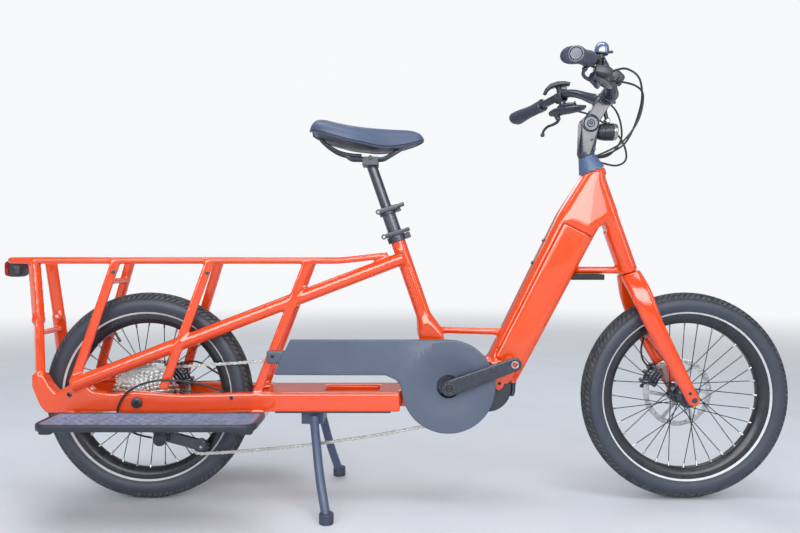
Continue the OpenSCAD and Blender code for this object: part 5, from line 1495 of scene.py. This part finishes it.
leverForm = {
    "clamp": (460.3, 176, 1062.2), "along": (-51, 75, -11),
    "body": [(436, 214, 1022), (446, 200, 1023), (462, 178, 1024), (480, 154, 1023), (494, 134, 1022),
             (506, 118, 1021)],
    "bodyR": [7.5, 11.5, 12.5, 12.0, 10.0, 6.5],
    "tank": [(454, 186, 1033), (470, 164, 1034), (488, 140, 1032)], "tankR": [7.5, 9.5, 7.5],
    "neck": [(460, 176, 1050), (464, 174, 1026)], "neckR": [9.5, 9.5],
    "knuckle": [(450, 192, 1014), (454, 192, 1002)], "knuckleR": [9.0, 6.5],
    "farBlade": [(456, 190, 1006), (452, 197, 996), (441, 206, 990), (429, 217, 986), (421, 229, 977),
                 (419, 236, 966)],
    "nearBlade": [(458, 178, 1006), (450, 191, 1006), (433, 210, 1013), (418, 225, 1015), (410, 234, 1021),
                  (413, 237, 1031)],
    "bladeR": [5.2, 4.6, 4.2, 4.0, 3.8, 4.4], "ball": 6.4,
    "ring": [(11.2, -7.5), (16.6, -7.5), (16.6, 7.5), (11.2, 7.5)],
    "lid": [(456, 184, 1041), (488, 141, 1041)], "pivot": (452, 193, 1004),
    "nut": [(3.2, -4), (6.0, -4), (6.0, 3), (4.2, 5), (4.2, 12), (3.2, 12)], "nutAt": (502, 123, 1021),
    "nutWay": (24, -28, 6)}


def makeLevers():
    f = leverForm
    parts, trim = [], []
    for s in (-1, 1):
        for part in ("body", "tank", "neck", "knuckle"):
            line = smoothLine(mirrored(f[part], s), 5)
            parts.append((sweep(part, line, spread(f[part + "R"], 5), 20), None, 0))
        along, nutWay = mirrored([f["along"], f["nutWay"]], s)
        spots = mirrored([f["clamp"], f["pivot"], f["nutAt"]] + f["lid"], s)
        middle, pivot, nutAt, *lid = (pt(*p) for p in spots)
        parts.append((turnedAlong("clamp", f["ring"], middle, Vector(along).normalized(), 36, True), None, 0))
        line = smoothLine(mirrored(f["nearBlade"] if s < 0 else f["farBlade"], s), 8)
        turns = (polar(f["ball"], math.pi * k / 12) for k in range(13))
        ball = turned("ball", [(r + 0.02, -y) for y, r in turns], line[-1] * mm, 24)
        trim += [(sweep("blade", line, spread(f["bladeR"], 8), 16), None, 0), (ball, None, 0)]
        trim += [(boltMesh(2.6, 1.6), aimed(p, (0, 0, 1)), 1) for p in lid]
        trim += [(boltMesh(4.2, 3.0), aimed(pivot + pt(0, -8, 0), (0, -1, 0)), 1),
                 (turnedAlong("nut", f["nut"], nutAt, nutWay, 6, True), None, 1)]
    obj = melt("leverBodies", gather("leverBodies", parts), 0.9, 5, 0.3)
    settle(obj, "steering", satinBlack, ["brake_levers"])
    assemble("leverBlades", trim, "steering", [satinBlack, boltSteel], (), 40)


makeLevers()


def pod(name, rows, square=4.0, sides=36):
    # a soft-cornered box along X: offset, half width, half height, middle height
    turns = [polar(1, 2 * math.pi * k / sides) for k in range(sides)]
    corners = [(squared(c, 2 / square), squared(s, 2 / square)) for c, s in turns]
    skins = [[pt(x, halfY * c, middle + halfZ * s) for c, s in corners] for x, halfY, halfZ, middle in rows]
    return loft(name, skins)


def tilted(x, y, z, degrees):
    return Matrix.Translation(pt(x, y, z)) @ Matrix.Rotation(math.radians(degrees), 4, "Y")


controls = {
    "shifter": [(-21, 9, 6, 0), (-19, 13, 10, 0), (-10, 15, 12, 0), (10, 15, 12, 0), (18, 12, 9, 0),
                (21, 7, 5, 0)],
    "shifterAt": (462, -205, 1033, 12),
    "paddle": [(450, -198, 1024), (438, -206, 1016), (426, -218, 1014)], "paddleR": [5, 4, 5],
    "bell": [(0.2, 31), (5.5, 30.4), (10.5, 28), (14, 23.6), (16, 17.5), (16.6, 11), (16.6, 6), (15.4, 5.2),
             (15.4, 3), (9, 2), (9, -6)],
    "bellMarks": [1] * 7 + [0] * 3, "bellAt": (461, -192, 1072), "bellWay": (0.12, -0.05, 1),
    "striker": [(476, -194, 1079), (484, -196, 1080), (487, -197, 1078)], "strikerR": [2.6, 3.4, 2.2],
    # place, half width, half height
    "hood": [(419, 211, 1077, 9, 5), (424, 209, 1088, 12, 6), (435, 207, 1098, 14, 7),
             (452, 204, 1103, 15, 7.5), (471, 200, 1104, 14, 6.5), (486, 197, 1102, 11, 5)],
    "hoodSides": 28, "hoodPower": 0.6,
    "leg": [(456, 203, 1098), (457, 198, 1084), (459, 190, 1066)], "legR": [8, 7, 8],
    "switch": [(-9, 6, 3, 0), (-7, 8, 5, 0), (7, 8, 5, 0), (9, 6, 3, 0)], "switchAt": (470, 200, 1090, 0),
    "band": [(11.2, -5), (14.4, -5), (15.2, -4), (15.2, 4), (14.4, 5), (11.2, 5)],
    "bandsAt": [(1, (452, 188, 1060.4)), (-1, (446.5, -196, 1059.3))]}


def makeHood():
    rows, n, power = controls["hood"], controls["hoodSides"], controls["hoodPower"]
    turns = [polar(1, 2 * math.pi * k / n) for k in range(n)]
    skins = []
    for i, (x, y, z, wide, high) in enumerate(rows):
        a, b = rows[max(i - 1, 0)], rows[min(i + 1, len(rows) - 1)]
        run = Vector((b[0] - a[0], 0, b[2] - a[2])).normalized()
        up = high * mm * Vector((-run.z, 0, run.x))
        skins.append([pt(x, y + wide * squared(c, power), z) + squared(s, power) * up for c, s in turns])
    return loft("hood", skins)


def makeControls():
    # right: shifter with its paddle and a bell; left: remote under a hood
    f = controls
    bell = turnedAlong("bell", f["bell"], pt(*f["bellAt"]), f["bellWay"], 40, False, f["bellMarks"])
    parts = [(pod("shifter", f["shifter"]), tilted(*f["shifterAt"]), 0),
             (sweep("paddle", smoothLine(f["paddle"], 6), spread(f["paddleR"], 6), 14), None, 0),
             (bell, None, None), (sweep("striker", f["striker"], f["strikerR"], 12), None, 0),
             (makeHood(), None, 0), (sweep("leg", f["leg"], f["legR"], 16), None, 0),
             (pod("switch", f["switch"]), tilted(*f["switchAt"]), 2)]
    for s, at in f["bandsAt"]:
        aim = Vector(mirrored([leverForm["along"]], s)[0]).normalized()
        parts.append((turnedAlong("band", f["band"], pt(*at), aim, 36, True), None, 0))
    assemble("barSwitches", parts, "steering", [darkPlastic, chromeBlue, satinBlack], ["bar_controls"],
             35)


makeControls()

display = {
    "at": (553, 0, 1068, 42), "barAt": (531, 0, 1022),
    "case": [(-17, 25, 11, 0), (-15.5, 28, 14, 0), (-10, 29, 15, 0), (8, 29, 15, 0), (14, 27, 13, 0),
             (17, 22, 9, 0)],
    "screen": [(-17.8, 21, 8.5, 0), (-17.4, 22.5, 10, 0), (-15, 22.5, 10, 0)],
    "port": [(15, 8, 4, -2), (21, 7, 3.4, -2)],
    "arm": [(531, 34, 1022), (533, 34, 1040), (543, 33, 1057), (553, 30.5, 1068)],
    "band": [(15.9, 28), (19.4, 28), (20, 29), (20, 39), (19.4, 40), (15.9, 40)]}


def makeDisplay():
    f = display
    turn = tilted(*f["at"])
    parts = [(pod("case", f["case"], 5), turn, 0), (pod("screen", f["screen"], 7), turn, 1),
             (pod("port", f["port"], 5), turn, 0)]
    for s in (-1, 1):
        parts += [(sweep("arm", smoothLine(mirrored(f["arm"], s), 5), 4.6, 14), None, 0),
                  (turned("band", [(r, s * y) for r, y in f["band"]], pt(*f["barAt"]), 36, True), None, 0),
                  (boltMesh(4.4, 2.6), aimed(pt(553, s * 33.5, 1068), (0, s, 0)), 2)]
    assemble("displayUnit", parts, "steering", [darkPlastic, screenGlass, boltSteel], ["display"],
             35)


makeDisplay()

stemTrim = {"pivot": (487, 0, 952), "marks": [0, 0, 1, 2, 2, 1, 1, 2, 2, 3, 3, 3, 3],
            "disc": [(0.5, 21.6), (4.4, 21.6), (5.0, 23.0), (7.6, 23.4), (8.4, 22.4), (9.4, 22.2),
                     (10.2, 23.4), (16.6, 23.2), (17.6, 22.0), (18.6, 22.0), (19.4, 23.0), (21.4, 22.2),
                     (22.0, 20.0), (22.0, 14.0)],
            "faceBolts": [(549.5, 13, 1036), (547, 13, 1006)], "pinchBolts": [(490, 20, 911), (496, 20, 888)]}


def makeStemTrim():
    # pivot discs, face-plate bolts and the pinch bolts of the lower half
    f = stemTrim
    parts = []
    for s in (-1, 1):
        disc = [(r, s * y) for r, y in f["disc"]]
        parts.append((turned("disc", disc, pt(*f["pivot"]), 48, False, f["marks"]), None, None))
        parts += [(boltMesh(3.6, 4.0), aimed(pt(*p), (1, 0, -0.15)), 0) for p in mirrored(f["faceBolts"], s)]
        parts += [(boltMesh(3.8, 3.2), aimed(pt(*p), (0, s, 0)), 0) for p in mirrored(f["pinchBolts"], s)]
    assemble("stemTrim", parts, "steering", [boltSteel, capGrey, gapBlack, satinBlack], (), 35)


makeStemTrim()

headLamp = {
    "middle": (507.5, 0, 934),
    # radius, distance ahead of the back
    "shell": [(0.4, 0), (12, 0), (16.5, 1.4), (19, 5), (20.6, 10), (21.2, 14.4), (20.8, 15), (20.8, 16.2),
              (21.4, 16.8), (22, 18), (22, 38), (21.6, 38.4), (21.6, 39.4), (22, 39.8), (21.4, 46.6),
              (19.2, 50), (18.4, 50), (18.4, 46)],
    "bowl": [(18.4, 46), (16, 40), (11, 33), (5.5, 30), (0.4, 29.4)],
    "shellMarks": [0] * 13 + [1] * 3 + [0] + [2] * 5,
    "lens": [(0.4, 48.6), (9, 48.2), (16, 47.0), (18.3, 46.2), (18.3, 45.4), (9, 46.6), (0.4, 47.0)],
    "bulb": [(0.4, 36), (2.2, 35.6), (3, 34), (3, 29)],
    "arm": [(533, 0, 955), (533, 0, 966), (529, 0, 982), (527, 0, 1000)], "armR": [6.5, 5.2, 5.2, 6.5],
    "eye": [(0.4, -8), (6.6, -8), (7.4, -7), (7.4, 7), (6.6, 8), (0.4, 8)], "eyeAt": (533, 0, 961)}
tailLamp = {
    "body": [(-978, 23, 19, 587), (-975, 25, 21, 587), (-958, 25, 21, 587), (-951, 22, 18, 587),
             (-948.5, 15, 12, 587)],
    "lens": [(-990, 19, 14, 587), (-988.5, 22, 17.5, 587), (-985, 24, 19.6, 587), (-977.5, 24.4, 20.2, 587)],
    "rib": [(-990.7, 16, 0.8), (-989.7, 18, 1.6), (-987.5, 18, 1.8)],
    "ribsAt": [587 + (k - 2) * 6.2 for k in range(5)],
    "reflector": [(-978.5, 21, 17, 587), (-977.9, 21, 17, 587)], "bolts": (-964, 24.8, 587)}


def makeHeadLamp():
    f = headLamp
    middle, eye = pt(*f["middle"]), pt(*f["eyeAt"])
    parts = [(turned("shell", f["shell"] + f["bowl"], middle, 56, False, f["shellMarks"], "X"), None, None),
             (turned("lens", f["lens"], middle, 48, axis="X"), None, 3),
             (turned("bulb", f["bulb"], middle, 24, axis="X"), None, 1),
             (sweep("arm", smoothLine(f["arm"], 5), spread(f["armR"], 5), 16), None, 0),
             (turned("eye", f["eye"], eye, 32), None, 0),
             (boltMesh(4.6, 3.2), aimed(eye + pt(0, -8, 0), (0, -1, 0)), 1)]
    assemble("headLamp", parts, "steering", [lampShell, brightSteel, reflexBand, lampLens], ["head_lamp"],
             30)


def makeTailLamp():
    f = tailLamp
    parts = [(pod(part, f[part], 5), None, k) for k, part in enumerate(("body", "lens", "reflector"))]
    parts += [(pod("rib", [row + (z,) for row in f["rib"]], 4, 20), None, 1) for z in f["ribsAt"]]
    parts += [(boltMesh(3.4, 2.4), aimed(pt(*mirrored([f["bolts"]], s)[0]), (0, s, 0)), 3) for s in (-1, 1)]
    assemble("tailLamp", parts, "frame", [darkPlastic, redLens, brightSteel, boltSteel], ["tail_lamp"],
             35)


makeHeadLamp()
makeTailLamp()

# pinch bar of each collar, with an open barrel at one end and a rounded lever at the other
collarForm = {"turn": -17.0, "y": -21.6, "boltAt": (28, -3.6, 1),
              "bar": [(-30, 3.6, 5.6, 0), (-24, 3.8, 6.6, 0), (11, 3.8, 6.4, 0), (19, 3.4, 4.6, 0.6),
                      (27, 3.8, 5.4, 1.0), (32, 3.4, 4.6, 1.2), (33, 2.4, 3.2, 1.2)],
              "barrel": [(2.9, -6), (5.8, -6), (6.6, -5), (6.6, 13), (5.8, 14), (2.9, 14)],
              "barrelAt": (-35, 0, 0),
              "pieces": [("postCollarBar", "lower_seat_post", -13.0, 740.0),
                         ("seatCollarBar", "frame", 1.0, 677.5)]}


def makeCollarBars():
    f = collarForm
    for name, body, x, z in f["pieces"]:
        turn = tilted(x, f["y"], z, f["turn"])
        parts = [(pod("bar", f["bar"], 5), turn, 0),
                 (turned("barrel", f["barrel"], pt(*f["barrelAt"]), 28, True), turn, 0),
                 (boltMesh(3.2, 2.2), turn @ aimed(pt(*f["boltAt"]), (0, -1, 0)), 1)]
        assemble(name, parts, body, [anodBlack, boltSteel], (), 35)


makeCollarBars()

# boss: radius, distance from the middle, right then left
crankForm = {"root": 16.0, "tip": 13.4, "middle": 87.5, "thick": 15.0, "edge": 3.4, "eye": 9.7,
             "bosses": [[(0.5, -60), (15, -60), (15, -81)], [(0.5, 42), (15, 42), (15, 81)]]}


def makeCrankArms():
    f = crankForm
    a, far = math.radians(crankTrim["angle"]), crankTrim["reach"]
    lean, right = math.asin((f["root"] - f["tip"]) / far), math.pi / 2
    outline = []
    for centre, r, first, last in ((0.0, f["root"], right - lean, 3 * right + lean),
                                   (far, f["tip"], lean - right, right - lean)):
        turns = (polar(r, first + (last - first) * k / 16) for k in range(17))
        outline += [(centre + x, z) for x, z in turns]
    arm = plate("arm", [outline, ring(f["eye"], 32, (far, 0))], f["thick"], f["edge"], 3)
    parts = []
    for s, swing, boss in zip((-1, 1), (-a, math.pi - a), f["bosses"]):
        place = Matrix.Translation(crankAxle + pt(0, s * f["middle"], 0)) @ Matrix.Rotation(swing, 4, "Y")
        parts += [(arm, place, 0), (turned("boss", boss, crankAxle, 40), None, 0)]
    assemble("crankArms", parts, "cranks", anodBlack, ["crank_arms"], 35)


makeCrankArms()

# places round the axle: radius, degrees from the caliper's middle, distance from the rotor
caliperForm = {"inner": (-11.0, 6.6), "outer": (12.8, 8.4), "rings": (68, 77, 85), "bridge": (97.5, 6.4),
               "half": 19.0, "bridgeFoot": 86, "bridges": (-14, 0, 14), "ear": (80, 88, 9, 7.5),
               "ears": (-24, 24), "earBolt": 16, "caps": (-8.5, 8.5), "capAt": 75, "hoseAt": 98,
               "cap": [(0.4, 1.4), (3.2, 1.4), (3.6, 0.4), (5.6, 0.4), (6.2, 1.8), (8.4, 1.5), (9.2, 0.4),
                       (9.2, -3)]}


def makeCaliper(name, axle, angle, shift, hose, body, node):
    # two halves that straddle the rotor, bridged over its rim, with piston caps, bolts and the hose's banjo
    f = caliperForm

    def spot(r, degrees, y):
        return around(axle, r, math.radians(angle + degrees), y + shift) / mm

    parts, trim = [], []
    for y, thick in (f["inner"], f["outer"]):
        radii = [thick * (1 - 0.35 * abs(k / 6) ** 4) for k in range(-6, 7)]
        for r in f["rings"]:
            line = [spot(r, f["half"] * f["rings"][0] / r * k / 6, y) for k in range(-6, 7)]
            parts.append((sweep("half", line, radii, 16), None, 0))
    (inner, _), (outer, outerR), (over, thick), foot = f["inner"], f["outer"], f["bridge"], f["bridgeFoot"]
    for k in f["bridges"]:
        line = [spot(foot, k, inner), spot(over, k, inner + 3), spot(over, k, outer - 3),
                spot(foot, k, outer)]
        parts.append((sweep("bridge", softenLine(line, 4), thick, 16), None, 0))
    low, high, y, thick = f["ear"]
    for k in f["ears"]:
        parts.append((sweep("ear", [spot(low, k * 0.7, y), spot(high, k, y)], thick, 16), None, 0))
        trim.append((boltMesh(5.2, 4.6), aimed(spot(high, k, f["earBolt"]) * mm, (0, 1, 0)), 1))
    cap = [(r, outer + outerR - 0.6 + y) for r, y in f["cap"]]
    trim += [(turned("cap", cap, spot(f["capAt"], k, 0) * mm, 36), None, 0) for k in f["caps"]]
    top = spot(f["hoseAt"], hose, 1)
    trim.append((boltMesh(5.6, 6.0), aimed(top * mm, spot(140, hose, 1) - top), 1))
    settle(melt(name, gather(name, parts), 0.9, 4, 0.35), body, satinBlack, [node])
    assemble(name + "Trim", trim, body, [anodBlack, boltSteel], (), 35)


makeCaliper("frontCaliper", frontAxle, 148.0, 40.0, -9.0, "steering", "front_caliper")
makeCaliper("rearCaliper", rearAxle, 34.0, 46.0, 11.0, "frame", "rear_caliper")

smallBolts = [
    # piece it sits on, a point that the sight line from the camera passes, sides, radius, height
    ("rackFrame", (-688.5, -85, 580.8), (-1, 1), 5.0, 2.6),
    ("rackFrame", (-460.0, -85, 578.4), (-1, 1), 5.0, 2.6),
    ("rearFrame", (-805.0, -70, 279.0), (-1, 1), 6.0, 3.0),
    ("rearFrame", (-408.0, -65, 270.0), (-1, 1), 5.0, 3.0),
    ("rearFrame", (-324.0, -100, 237.0), (-1, 1), 5.0, 3.0),
    ("frontFrame", (257.0, -42, 301.0), (-1, 1), 4.6, 2.4),
    ("chainGuard", (-304.0, -76, 375.0), (-1,), 5.0, 2.4),
    ("frontFrame", (253.5, -42, 391.0), (-1,), 2.6, 0.8),
]
forkBolts = [("forkBlades", (723.0, -67, 281.0), (-1, 1), 4.2, 1.2)]
facingBolts = [
    # piece it sits on, a point on the bolt's axis, the way its head faces, radius, height
    ("frontFrame", (376.0, 0, 658.0), (-0.881, 0, 0.472), 4.4, 5.0),
    ("frontFrame", (346.0, 0, 602.0), (-0.881, 0, 0.472), 4.4, 5.0),
    ("rearThruAxle", (-631.5, 0, 263.0), (0, -1, 0), 10.4, 1.8),
]


def sightRay(point, s):
    # from the camera, or for the left side from its mirror place, towards a point or its mirror point
    turn = Vector((1, -s, 1))
    start = Vector(view["place"]) * turn
    return start, (point * turn - start).normalized()


def seatBolts(name, table, body, facing=()):
    # each bolt is dropped on to the skin of its piece along its own axis or along a sight line
    parts = []
    for piece, point, way, r, h in facing:
        way = Vector(way).normalized()
        spot = skinTree(bpy.data.objects[piece].data).ray_cast(pt(*point) + 150 * mm * way, -way)[0]
        parts.append((boltMesh(r, h), aimed(spot, way), 0))
    for piece, point, sides, r, h in table:
        tree = skinTree(bpy.data.objects[piece].data)
        for s in sides:
            spot, normal, _, _ = tree.ray_cast(*sightRay(pt(*point), s))
            parts.append((boltMesh(r, h), aimed(spot, normal if normal.y * s > 0 else (0, s, 0)), 0))
    assemble(name, parts, body, boltSteel, (), 35)


# dark joint over the battery cover, from its rear corner to its front one
coverSeam = {"from": (416.5, -42, 701.0), "to": (482.5, -42, 668.6), "steps": 14, "passes": 3, "radius": 1.5}


def makeCoverSeam():
    f = coverSeam
    trees = [skinTree(bpy.data.objects[piece].data) for piece in ("frontFrame", "batteryCover")]
    first, last = pt(*f["from"]), pt(*f["to"])
    parts = []
    for s in (-1, 1):
        line = []
        for k in range(f["steps"] + 1):
            ray = sightRay(first.lerp(last, k / f["steps"]), s)
            hits = [hit for hit in (tree.ray_cast(*ray) for tree in trees) if hit[0] is not None]
            line.append(min(hits, key=lambda hit: hit[3])[0] / mm)
        for _ in range(f["passes"]):
            line[1:-1] = [(a + 2 * b + c) / 4 for a, b, c in zip(line, line[1:], line[2:])]
        parts.append((sweep("coverSeam", line, f["radius"], 10), None, 0))
    assemble("coverSeam", parts, "frame", gapBlack, (), 60)


makeCoverSeam()
seatBolts("frameBolts", smallBolts, "frame", facingBolts)
seatBolts("forkBolts", forkBolts, "steering")
print("saddle, bars, lamps and bolts done")
